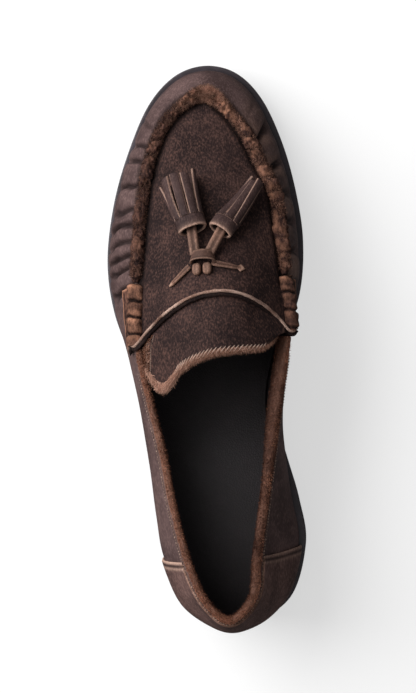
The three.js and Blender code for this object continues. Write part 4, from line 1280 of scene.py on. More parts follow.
    def build_heel(self) -> None:
        """The heel block with its sloping breast, and the top lift under it."""
        last = self.last
        height = last.heel_seat - last.heel_sole
        outer = self.outsole_inset + self.heel_inset
        lift, finishes = self.lift_thickness, self.finishes
        for name, node, low, high, finish, slot in (
            ("heel_stack", "heel_block", lift + last.gap, height, finishes.stack, Slot.HEEL),
            ("heel_lift", "heel_top_lift", 0.0, lift, finishes.rubber, Slot.RUBBER),
        ):
            plans = [self.outline(outer + self.heel_taper * (1 - z / height)) for z in (low, high)]
            bm = self.slab(*plans, high - low)
            bmesh.ops.translate(bm, verts=bm.verts, vec=(0, 0, low * MM))
            breast = (last.heel_length - self.breast_slope + last.shift[1]) * MM
            plane = {"plane_co": (0, breast, 0), "plane_no": (0, height, -self.breast_slope)}
            made = bmesh.ops.bisect_plane(bm, geom=self.whole(bm), clear_outer=True, **plane)
            rim = [g for g in made["geom_cut"] if isinstance(g, bmesh.types.BMEdge)]
            bmesh.ops.contextual_create(bm, geom=rim)
            if name == "heel_stack":
                self.cut(bm, [y for y in self.strips() if y < last.heel_length])
                for v in bm.verts:
                    if v.co.z > (height - 1.0) * MM:
                        y = np.array(v.co.y / MM - last.shift[1])
                        lower = float(last.under_height(y)) - last.gap - height
                        v.co.z += lower * MM
            bmesh.ops.recalc_face_normals(bm, faces=bm.faces)
            mesh = self.shop.mesh(bm, name, 40)
            self.shop.piece(name, mesh, [finish], slot, (node,))

    def build_insole(self) -> None:
        """The padded black sock."""
        last, thickness, u = self.last, self.insole_thickness, self.stations()
        inset = last.rim * ring_value(last.rim_share, u) + last.wall_thickness + self.sock_gap
        plan = last.inset(u, inset)
        bm = self.slab(plan, plan, thickness)
        self.cut(bm, self.strips())
        self.shaped(
            bm,
            thickness,
            lambda y: last.feather_height(y) + last.gap,
            lambda y: last.feather_height(y) + last.gap + thickness,
        )
        mesh = self.shop.mesh(bm, "sock", 50)
        self.shop.piece("sock", mesh, [self.finishes.sock], Slot.SOCK, ("insole",))

    def build(self) -> None:
        """All the layers under the foot."""
        self.build_midsole()
        self.build_outsole()
        self.build_heel()
        self.build_insole()


# The upper


@dataclass
class Upper(SubAssembly):
    """The walls with their gathered scallops, the apron, its raised seam and its arched raw edge."""

    vamp_columns: int = 540
    quarter_columns: int = 180
    wall_rows: int = 54
    station_length: float = 22.0
    scallop_height: float = 3.0
    # How far below the apron's edge the gathers' valley and lip lie; lateral, then medial.
    valley_at: Span = (4.3, 3.6)
    valley_half: Span = (1.2, 1.7)
    lip_at: float = 5.3
    crease_width: float = 1.05
    inner_share: float = 1.6
    seam_valley: float = 1.3
    strip_width: float = 3.4
    strip_raise: float = 0.55
    seam_half: float = 3.3
    seam_high: float = 2.8
    seam_lift: float = 0.9
    seam_end: float = 5.74
    seam_hairs: int = 17000
    bead_width: float = 0.75
    bead_high: float = 1.2
    shade_width: float = 1.05
    shade_high: float = 0.8

    # The stations, back from the toe, where the gathers are pulled in on each side.
    GATHERS = {
        Side.LATERAL: (2.0, 2.3, 2.81, 3.12, 3.7, 4.2, 4.5, 4.81, 5.1, 5.35, 5.74),
        Side.MEDIAL: (1.75, 2.4, 3.25, 3.96, 4.58, 5.2, 5.85),
    }

    def gathered(self, side: Side, k: Array, v: Array, where: Array) -> tuple[Array, Array]:
        """The scallops between the gathers of one side.

        Args:
            side: Which side.
            k: Stations back from the toe.
            v: The share of the wall's height.
            where: The points of the wall, for their unevenness.

        Returns:
            The relief in millimetres, and the painted shade of the creases from 0 to 1.
        """
        places = np.array(self.GATHERS[side])
        rng = np.random.default_rng(100 + side.value)
        lifts, tilts = rng.uniform(-0.7, 0.3, len(places)), rng.uniform(-0.7, 0.7, len(places))
        at = k + 0.05 * soft_noise(where, 6.0, 11) + 0.08 * (v - 0.7)
        i = np.clip(np.searchsorted(places, at) - 1, 0, len(places) - 2)
        span = places[i + 1] - places[i]
        t = np.clip((at - places[i]) / span, 0, 1)
        from_crease = np.minimum(t, 1 - t) * span * self.station_length
        share = self.inner_share if side is Side.MEDIAL else 1.0
        flat = 1 - bell(from_crease / self.crease_width, share)
        pillow = 0.7 * flat + 0.3 * (1 - (2 * t - 1) ** 2)
        own = (lifts[i] + tilts[i] * (2 * t - 1)) * flat
        inside = plateau((places[0] - 0.1, places[0] + 0.8), (places[-1], places[-1] + 0.2), at)
        high = plateau((0.03, 0.4), (0.88, 0.97), v)
        small = 0.42 * soft_noise(where * np.array([1.0, 1.0, 0.45]), 2.4, 8)
        relief = inside * high * (self.scallop_height * share * (pillow - 0.9) + own + small)
        # Painted shade in the creases between the scallops.
        crease_shade = np.minimum(1.35 * bell(from_crease / 0.95, share), 1) * inside
        return relief, crease_shade * plateau((0.12, 0.4), (0.95, 0.995), v)

    def build_walls(self) -> None:
        """The vamp walls and quarters as one gathered sheet round the shoe."""
        last = self.last
        ring, quarter = 2 * last.toe_station, last.toe_station - 6.2
        half = np.linspace(0, quarter, self.quarter_columns // 2 + 1)
        vamp = np.linspace(quarter, ring - quarter, self.vamp_columns + 1)
        u = np.concatenate([half[:-1], vamp, ring - half[-2::-1]])[:, None]
        v = (1 - (1 - np.linspace(0, 1, self.wall_rows + 1)) ** 1.15)[None, :]
        points = last.wall(u, v)
        k = np.abs(u - last.toe_station) + 0 * v
        relief, painted_shade_and_dark_marks = np.zeros(points.shape[:2]), np.zeros(points.shape[:2])
        for side in Side:
            here = np.sign(u - last.toe_station) + 0 * v == side.value
            made, dark = self.gathered(side, k, v + 0 * u, points)
            relief, painted_shade_and_dark_marks = np.where(here, made, relief), np.where(here, dark, painted_shade_and_dark_marks)
        steps = np.linalg.norm(np.diff(points, axis=1), axis=-1)
        below_top = np.pad(np.cumsum(steps[:, ::-1], axis=1)[:, ::-1], ((0, 0), (0, 1)))
        seam_zone = 1 - smoothstep(last.arch_station - 0.7, last.arch_station - 0.1, k)
        outer = np.sign(u - last.toe_station) + 0 * v < 0
        spread, middle = np.where(outer, *self.valley_half), np.where(outer, *self.valley_at)
        # The valley under the seam is sunk, and darkened with painted shade.
        valley = bell(below_top, spread, middle) * seam_zone
        collar_zone = smoothstep(last.arch_station + 0.2, last.arch_station + 0.6, k)
        strip = collar_zone * (1 - smoothstep(self.strip_width - 0.5, self.strip_width + 0.2, below_top))
        # Painted shade: a dark line under the collar strip's edge.
        strip_shade_line = collar_zone * bell(below_top - self.strip_width, 0.45, 0.2)
        drape = 0.35 * soft_noise(points, 24.0, 3) * plateau((0.05, 0.3), (0.8, 0.95), v)
        relief = relief - self.seam_valley * valley + self.strip_raise * strip + drape
        relief = relief * smoothstep(0.0, 0.06, v + 0 * u) - last.heel_tuck(u, v)
        # A pale line along the gathers' lip under the seam: partly wear, partly painted highlight.
        lip = bell(below_top - self.lip_at, 0.5, 0.5 * soft_noise(points, 5.0, 12)) * seam_zone
        dark = np.clip(painted_shade_and_dark_marks + 0.9 * valley + 0.5 * strip_shade_line, 0, 1)
        lip = lip * smoothstep(2.2, 3.2, k) * (0.45 + 0.4 * soft_noise(points, 3.0, 13))
        # Painted highlight: the upper faces of the medial scallops, which lie in shade, are lightened.
        painted_lit_tops = (1 - painted_shade_and_dark_marks) * smoothstep(1.2, 2.4, k) * plateau((0.25, 0.55), (0.8, 0.92), v) * seam_zone
        painted_lit_tops = np.where(outer, 0.0, 0.55) * painted_lit_tops * np.clip(0.6 + soft_noise(points, 7.0, 14), 0, 1)
        marks = {"painted_shade_and_dark_marks": dark, "rub": np.clip(0.15 * strip + 0.45 * lip + painted_lit_tops, 0, 1) + 0 * dark}
        out = last.wall_normal(u, np.clip(v, 0.03, 0.97))
        skin = Skin(points, closed_rows=True, marks=marks).raised(relief, out)
        finishes = [self.finishes.wall, self.finishes.lining]
        self.shop.panel("walls", skin, out, finishes, Slot.BRUSHED, "upper", last.wall_thickness, inside=1)

    def build_apron(self) -> None:
        """The apron over the instep, sunk a little along its seam."""
        last = self.last
        k = np.linspace(0, last.arch_station, 170)[:, None]
        s = np.sin(np.linspace(-1, 1, 121) * math.pi / 2)[None, :]
        s = 0.55 * s + 0.45 * np.linspace(-1, 1, 121)[None, :]
        points = last.apron(k, s)
        from_edges = [np.linalg.norm(points - edge, axis=-1) for edge in (points[:, :1], points[:, -1:])]
        from_edge = np.minimum(*from_edges)
        # The groove beside the seam is sunk, and darkened with painted shadow of the ridge.
        groove = bell(np.maximum(from_edge - 3.4, 0), np.where(s < 0, 2.5, 1.7) + 0 * k)
        swell = 0.5 * soft_noise(points, 19.0, 21) + 0.14 * soft_noise(points, 6.0, 22)
        relief = swell * smoothstep(1.0, 6.0, from_edge) - 0.9 * groove
        marks = {"painted_shade_and_dark_marks": np.clip(0.95 * groove, 0, 1), "rub": np.zeros(points.shape[:2])}
        up = last.apron_normal(np.maximum(k, 0.15), s)
        skin = Skin(points, marks=marks).raised(relief, up)
        finishes, thickness = [self.finishes.brushed, self.finishes.lining], last.wall_thickness
        self.shop.panel("apron", skin, up, finishes, Slot.BRUSHED, "upper", thickness, inside=1, rim=1)

    def build_seam(self) -> None:
        """The raised seam round the apron: a puckered, tufted ridge."""
        last = self.last
        u = np.linspace(last.toe_station - self.seam_end, last.toe_station + self.seam_end, 620)
        line = last.top(u)
        course = Course.along(line, UP).lifted(self.seam_lift)
        run = runs(course.points)
        taper = smoothstep(0.0, 3.0, run) * smoothstep(0.0, 3.0, run[-1] - run)
        taper = (0.55 + 0.45 * taper) * (1 + 0.12 * soft_noise(line, 11.0, 30)) * self.slimness(u)
        skin = course.tube(self.seam_half * taper, self.seam_high * taper, 34, 0.9)
        angle, most = ring_angles(34), 120
        rng = np.random.default_rng(31)
        breaks = np.cumsum(rng.uniform(3.0, 10.0, most))
        depths, skews = rng.uniform(0.1, 0.95, most) ** 1.3, rng.uniform(-2.2, 2.2, most)
        lifts = rng.uniform(-0.35, 0.35, most + 1)
        place = run[:, None] + 0.5 * soft_noise(skin.points, 3.0, 32)
        near = np.clip(np.searchsorted(breaks, place), 0, most - 1)
        before = np.maximum(near - 1, 0)
        gap_after = np.abs(place + skews[near] * np.cos(angle) - breaks[near])
        gap_before = np.abs(place + skews[before] * np.cos(angle) - breaks[before])
        pleat = depths[near] * bell(gap_after, 0.75)
        pleat = np.maximum(pleat, depths[before] * bell(gap_before, 0.75))
        rough = 0.8 * soft_noise(skin.points, 2.6, 33) + 1.1 * soft_noise(skin.points, 1.3, 34)
        swells = soft_noise(skin.points, 5.5, 36)
        settled = 1 - bell(np.minimum(gap_after, gap_before), 1.2)
        relief = lifts[near] * settled - 0.95 * pleat + 0.6 * rough + 0.75 * swells
        lean = 0.9 * smoothstep(-0.5, 0.8, (u - last.toe_station))[:, None]
        # Lighter along the top of the ridge: partly wear, partly painted highlight.
        crest_wear_and_highlight = np.clip(np.sin(angle) + 0.35 * lean * np.cos(angle), 0, 1) ** 1.5
        blotch = np.clip(0.45 + 1.3 * soft_noise(skin.points, 2.2, 35) + 0.5 * swells, 0, 1.6)
        rub = np.clip(crest_wear_and_highlight * self.worn(u)[:, None] * blotch * (1 - pleat), 0, 1)
        # Painted shade in the pleats and under the ridge.
        dark = np.clip(1.1 * pleat - 0.25 * rough + 0.9 * np.clip(0.3 - np.sin(angle), 0, 1), 0, 1)
        skin.marks = {"rub": rub, "painted_shade_and_dark_marks": dark * 0.8}
        ridge = skin.raised(relief, skin.points - course.points[:, None])
        self.shop.solid("seam_ridge", ridge, self.finishes.seam, Slot.SEAM, "apron_seam")

    def slimness(self, u: Array) -> Array:
        """How slim the ridge is at ring position u: it narrows on both sides of the toe."""
        from_toe = np.abs(u - self.last.toe_station)
        lateral = smoothstep(1.5, 3.0, self.last.toe_station - u)
        return 0.95 - 0.27 * bell(from_toe, 0.8, 1.3) - 0.1 * lateral

    def worn(self, u: Array) -> Array:
        """How worn and pale the ridge is at ring position u: most at the toe and on the inner side."""
        from_toe = u - self.last.toe_station
        medial = smoothstep(-0.2, 0.8, from_toe)
        return 0.13 + 0.27 * medial + 0.9 * bell(from_toe, 0.95)

    def build_seam_fur(self) -> None:
        """The nap that stands on the ridge, tufted at the toe."""
        last, count = self.last, self.seam_hairs
        rng = np.random.default_rng(37)
        toe, reach = last.toe_station, self.seam_end - 0.1
        at_toe = rng.normal(toe + 0.15, 0.75, count // 4)
        u = np.concatenate([at_toe, rng.uniform(toe - reach, toe + reach, count)])[:count]
        angle = rng.uniform(0.05, math.pi - 0.05, count)
        along = unit(last.top(u + 0.01) - last.top(u - 0.01))
        side = unit(np.cross(along, UP))
        up = unit(np.cross(side, along))
        radial = side * np.cos(angle)[:, None] * self.seam_half + up * np.sin(angle)[:, None] * self.seam_high
        radial = radial * self.slimness(u)[:, None]
        roots = last.top(u) + up * self.seam_lift + radial * 0.9
        astray = along * rng.normal(0, 0.6, count)[:, None]
        lean = unit(radial) * 0.55 + astray + rng.normal(0, 0.4, (count, 3))
        length = rng.uniform(0.8, 1.8, count) * (1 + 0.6 * bell(u, 0.9, toe))
        z = unit(lean) * length[:, None]
        x, y = hair_axes(z, length, 0.15, (0.3, 1.2), rng)
        patches = np.clip(0.4 + 1.0 * soft_noise(roots, 2.4, 38) + 1.0 * soft_noise(roots, 1.1, 39), 0, 1.6)
        # Hairs on the ridge's top are paler: partly wear, partly painted highlight.
        crest_wear_and_highlight = 0.35 + 0.65 * np.sin(angle)
        tones_and_painted_light = self.worn(u) * (0.2 + patches) * crest_wear_and_highlight + rng.normal(0.02, 0.16, count)
        mesh = Template.hair().repeated("seam_fur", roots, x, y, z, np.clip(tones_and_painted_light, 0, 1), last)
        self.shop.piece("seam_fur", mesh, [self.finishes.nap], Slot.SEAM)

    def build_arch_edge(self) -> None:
        """The raw, pale cut edge of the apron's arch, whose ends run down on the walls, with a dark tube behind
        it for the edge's own dark side and the painted shade under it.
        """
        last = self.last
        back, toe = float(last.arch_station), last.toe_station
        hook_back, hook_high = np.array([7.07, 7.0, 6.97]), np.array([0.80, 0.88, 0.95])
        hook_out = last.wall_normal(toe - hook_back, hook_high)
        hook_line = last.wall(toe - hook_back, hook_high) + hook_out * 2.2
        ends = last.top(np.array([toe - back, toe + back])) + UP * np.array([[3.4], [3.2]])
        tip_out = last.wall_normal(toe + back - 0.05, 0.95)
        tip = last.top(np.array(toe + back - 0.05)) + tip_out * 3.6 + UP * 0.4
        middle = last.apron(back, np.linspace(-0.86, 0.86, 40))
        line = np.concatenate([hook_line, ends[:1], middle, [ends[1], tip]])
        ups = np.concatenate([hook_out, [hook_out[-1] + UP], np.tile(UP, (41, 1)), [UP + tip_out]])
        both = resampled(np.concatenate([line, ups], axis=1), 320)
        line = both[:, :3]
        course = Course.along(line, unit(both[:, 3:]))
        wobble = 0.12 * soft_noise(line, 3.0, 41)
        back_side = -1.0 if float(np.sum(course.side[:, 1])) > 0 else 1.0
        run = runs(line)
        slim = 0.35 + 0.65 * smoothstep(0, 3, run) * smoothstep(0, 3, run[-1] - run)
        uneven = (1 + 0.2 * soft_noise(line, 2.0, 42)) * slim
        # The second tube is darkened with painted shade: the shadow under the lifted edge, with the edge's own
        # dark side.
        for name, aside, drop, width, high, finish, pale in (
            ("arch_edge", 0.1, 0.4, self.bead_width, self.bead_high, self.finishes.raw, 1.0),
            ("arch_edge_shaded_side", 1.45, 0.7, self.shade_width, self.shade_high, self.finishes.brushed, 0.0),
        ):
            shift = course.side * (wobble + back_side * aside)[:, None]
            bead = Course(line - course.up * drop + shift, course.side, course.up)
            skin = bead.tube(width * uneven, high * slim, 14, 0.8)
            rub = pale * np.clip(0.35 + 0.6 * soft_noise(skin.points, 4.0, 43), 0, 1)
            skin.marks = {"rub": rub, "painted_shade_and_dark_marks": 0.8 * (1 - pale) + 0 * rub}
            self.shop.solid(name, skin, finish, Slot.RAW)

    def build(self) -> None:
        """The whole upper."""
        self.build_walls()
        self.build_apron()
        self.build_seam()
        self.build_seam_fur()
        self.build_arch_edge()


@dataclass
class Wing(SubAssembly):
    """One end of the seam: a patch over the wall with a raw edge, and a roll in stitched blocks on it."""

    side: Side
    front: float = 5.82
    low: float = 0.74
    high: float = 0.985
    thickness: float = 1.7
    block_pitch: float = 7.9
    roll_half: float = 3.6
    roll_high: float = 2.7

    def station(self, a: Array) -> Array:
        """The ring position at a share of the wing's length, from its front to its back."""
        length = self.last.arch_station - 0.06 - self.front
        return self.last.toe_station + self.side.value * (self.front + length * a)

    @property
    def label(self) -> str:
        """The side's name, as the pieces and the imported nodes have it."""
        return self.side.name.lower()

    def build_patch(self) -> None:
        """The patch on the wall."""
        last = self.last
        a, b = np.linspace(0, 1, 40)[:, None], np.linspace(0, 1, 30)[None, :]
        v = self.low + (self.high - self.low) * b
        base, out = last.wall(self.station(a), v), last.wall_normal(self.station(a), v)
        uneven = 0.25 * soft_noise(base, 5.0, 51)
        points = base + out * (last.gap + self.thickness + uneven)[..., None]
        edge = np.minimum(np.minimum(a * 28, (1 - a) * 28), b * 11)
        rub = np.clip(1.3 - edge / 0.9, 0, 1)
        mottle = soft_noise(base, 2.4, 52)
        rub = np.clip(rub + 0.3 * np.clip(mottle, 0, 1), 0, 1)
        dark = 0.6 * smoothstep(0.15, 0.6, -mottle) * (1 - rub)
        skin = Skin(points, marks={"rub": rub, "painted_shade_and_dark_marks": dark})
        name, node = f"wing_patch_{self.label}", f"wing_{self.label}"
        finishes = [self.finishes.seam, self.finishes.raw]
        self.shop.panel(name, skin, out, finishes, Slot.SEAM, node, self.thickness, rim=1)

    def build_roll(self) -> None:
        """The roll of stitched blocks that closes the seam."""
        line = self.last.top(self.station(np.linspace(-0.03, 1.06, 200)))
        course = Course.along(line, UP).lifted(0.9)
        run, angle = runs(course.points), ring_angles(30)
        skin = course.tube(self.roll_half, self.roll_high, 30, 0.95)
        bend = run[:, None] + 0.6 * soft_noise(skin.points, 3.5, 54) + 0.5 * np.cos(angle)
        near = np.abs((bend / self.block_pitch + 0.5) % 1.0 - 0.5) * self.block_pitch
        half_way = np.abs((bend / self.block_pitch) % 1.0 - 0.5) * self.block_pitch
        pleat = np.maximum(bell(near, 0.8), 0.15 * bell(half_way, 0.6))
        block = 1 - pleat
        rough = soft_noise(skin.points, 2.2, 53) + 0.7 * soft_noise(skin.points, 4.5, 55)
        relief = 0.3 - 1.25 * pleat + 0.42 * rough
        crest_wear_and_highlight = np.clip(np.sin(angle), 0, 1)
        front = bell(run, 1.6)[:, None]
        mottle = 0.75 + 1.0 * soft_noise(skin.points, 2.6, 56)
        # Painted highlight on the crests and at the front end, stronger on the lateral side where the light
        # falls, over some wear; painted shade in the pleats and under the roll.
        share = 0.72 if self.side is Side.LATERAL else 0.2
        rub = np.clip(share * crest_wear_and_highlight * block * mottle + 0.9 * front * crest_wear_and_highlight, 0, 1)
        dark = np.clip(pleat * 1.1 - 0.3 * rough + 0.8 * np.clip(0.25 - np.sin(angle), 0, 1), 0, 1)
        skin.marks = {"rub": rub, "painted_shade_and_dark_marks": dark}
        roll = skin.raised(relief, skin.points - course.points[:, None])
        self.shop.solid(f"wing_roll_{self.label}", roll, self.finishes.seam, Slot.SEAM, f"wing_{self.label}")

    def build(self) -> None:
        """The patch and its roll."""
        self.build_patch()
        self.build_roll()


@dataclass
class Counter(SubAssembly):
    """The overlay round the heel with its raw front edges."""

    reach: float = 2.0
    low: float = 0.02
    high: float = 0.955
    thickness: float = 1.3

    def build(self) -> None:
        """The overlay."""
        last = self.last
        a, b = np.linspace(-1, 1, 190)[:, None], np.linspace(0, 1, 40)[None, :]
        u, v = a * self.reach, self.low + (self.high - self.low) * b
        base, out = last.wall(u, v), last.wall_normal(u, np.clip(v, 0.03, 0.97))
        from_front = (1 - np.abs(a)) * 36
        rise = smoothstep(-0.2, 0.9, from_front) * 0.5 + 0.5
        wavy = 0.22 * soft_noise(base, 9.0, 61)
        stand = last.gap + self.thickness * rise + wavy - last.heel_tuck(u, v)
        points = base + out * stand[..., None]
        rub = np.clip(1.15 - from_front / 1.1, 0, 1) + 0.55 * bell(from_front, 0.6, 2.6)
        # The pale raw edge is lightened more on the lateral side and less on the medial side: painted light
        # over the edge's own colour.
        rub = np.clip(rub * np.where(a < 0, 0.5, 1.2), 0, 1) + 0 * b
        # Painted shade: a dark line just behind the front edge.
        dark = 0.8 * bell(from_front, 0.45, 1.6) + 0 * b
        rub = np.clip(rub + 0.35 * bell(b, 0.03, 0.04) * (a < 0), 0, 1)
        skin = Skin(points, marks={"rub": rub, "painted_shade_and_dark_marks": np.clip(dark, 0, 1)})
        finishes, thickness = [self.finishes.counter, self.finishes.raw], self.thickness * 0.9
        self.shop.panel("counter", skin, out, finishes, Slot.BRUSHED, "heel_counter", thickness, rim=1)


@dataclass
class Collar(SubAssembly):
    """The fuzzy edge round the collar: a padded band, the short fur on it and a line of fine stitches."""

    end_gap: float = 0.12
    width: float = 3.2
    height: float = 2.3
    underlap: float = 0.35
    hairs: int = 18000
    hair_length: float = 1.05
    facing: float = 3.4

    def course(self, u: Array) -> tuple[Array, Array, Array]:
        """The middle of the collar's rim with its outward and upward directions."""
        last = self.last
        out = last.wall_normal(u, 0.97)
        up = unit(last.wall(u, 1.0) - last.wall(u, 0.96))
        return last.top(u) - out * last.wall_thickness / 2 + up * last.gap * 1.5, out, up

    def span(self) -> tuple[float, float]:
        """The ring positions of the band's two ends."""
        last = self.last
        first = last.toe_station + last.arch_station + self.end_gap
        return first, 3 * last.toe_station - last.arch_station - self.end_gap

    def breadth(self, u: Array) -> Array:
        """How wide the band is at ring position u: broader on the inner side."""
        return 1 + 0.45 * plateau((20.4, 22.5), (24.2, 26.0), u)

    def shade(self, u: Array) -> Array:
        """Where the band is painted darker with shade, on the inner side."""
        return plateau((20.4, 21.5), (23.5, 25.5), u)

    def turned_in(self, u: Array) -> Array:
        """How far the band's lining side reaches into the shoe, at the front of the inner side."""
        return self.facing * (1 - smoothstep(21.3, 22.9, u))

    def build_band(self) -> None:
        """The padded band."""
        first, final = self.span()
        u = np.linspace(first, final, 420)
        middle, out, up = self.course(u)
        angle = ring_angles(28)
        wide = (self.width / 2 * self.breadth(u))[:, None] * np.cos(angle)
        high = np.where(np.sin(angle) > 0, self.height, self.underlap) * np.sin(angle) + 0 * wide
        points = middle[:, None] + out[:, None] * wide[..., None] + up[:, None] * high[..., None]
        swell = (0.22 * soft_noise(points, 4.0, 71) + 0.16 * soft_noise(points, 1.6, 72))[..., None]
        points = points + (points - middle[:, None]) / self.width * 2 * swell
        inner = np.clip(-np.cos(angle), 0, 1) + 0 * wide
        facing = self.turned_in(u)[:, None] * inner
        points = points - out[:, None] * facing[..., None] - up[:, None] * 0.7 * facing[..., None]
        medial = self.shade(u)[:, None]
        # Painted shade on the side turned into the shoe and on the medial side, and painted highlight on the
        # rest of the outer side.
        dark = np.clip(smoothstep(0.55, 1.0, inner) * 0.85 + 0.35 * medial, 0, 1)
        marks = {"rub": 0.25 * (1 - inner) * (1 - medial), "painted_shade_and_dark_marks": dark}
        skin = Skin(points, closed_columns=True, marks=marks)
        self.shop.solid("collar_band", skin, self.finishes.band, Slot.RAW, "collar_trim")

    def build_fur(self) -> None:
        """The short fur on the band."""
        rng = np.random.default_rng(73)
        u = rng.uniform(*self.span(), self.hairs)
        angle = rng.uniform(0.35, math.pi - 0.05, self.hairs)
        middle, out, up = self.course(u)
        radial = out * np.cos(angle)[:, None] + up * np.sin(angle)[:, None]
        wide, high = self.width / 2 * self.breadth(u) * np.cos(angle), self.height * np.sin(angle) - 0.1
        inner = np.clip(-np.cos(angle), 0, 1)
        roots = middle + out * wide[:, None] + up * high[:, None]
        roots = roots - (out + 0.7 * up) * (self.turned_in(u) * inner)[:, None]
        lean = rng.normal(0, 0.45, (self.hairs, 3)) + radial * 0.55 + UP * 0.35
        length = self.hair_length * rng.uniform(0.6, 1.2, self.hairs)
        z = unit(lean) * length[:, None]
        x, y = hair_axes(z, length, 0.17, (0.2, 1.0), rng)
        medial = self.shade(u)
        # Painted shade: the hairs are darker on the medial side and on the side turned into the shoe.
        clouds = 0.74 + 0.4 * soft_noise(roots, 6.0, 74) - 0.48 * medial
        tones_and_painted_light = np.clip(clouds * (1 - 0.9 * inner) + rng.normal(0, 0.14, self.hairs), 0, 1)
        mesh = Template.hair().repeated("collar_fur", roots, x, y, z, tones_and_painted_light, self.last)
        self.shop.piece("collar_fur", mesh, [self.finishes.fur], Slot.RAW)

    def build_stitches(self) -> None:
        """The fine line of stitches under the band."""
        last = self.last
        first, final = self.span()
        u = np.linspace(first + 0.35, final - 0.35, 900)
        line = last.wall(u, 0.962) + last.wall_normal(u, 0.95) * 0.8
        count = int(np.linalg.norm(np.diff(line, axis=0), axis=1).sum() / 1.35)
        even = resampled(line[:: len(line) // 60], count)
        near = np.array([int(np.argmin(np.linalg.norm(line - p, axis=1))) for p in even])
        normal = last.wall_normal(u[near], 0.95)
        along = unit(np.gradient(even, axis=0))
        rng = np.random.default_rng(75)
        length = rng.uniform(0.6, 1.0, (count, 1))
        x, y, z = along * length, unit(np.cross(normal, along)) * 0.75, normal * 0.5
        tones_and_painted_light = rng.uniform(0.1, 0.9, count)
        mesh = Template.stitch().repeated("collar_stitches", even, x, y, z, tones_and_painted_light, last)
        self.shop.piece("collar_stitches", mesh, [self.finishes.thread], Slot.RAW)

    def build(self) -> None:
        """The whole edge of the collar."""
        self.build_band()
        self.build_fur()
        self.build_stitches()


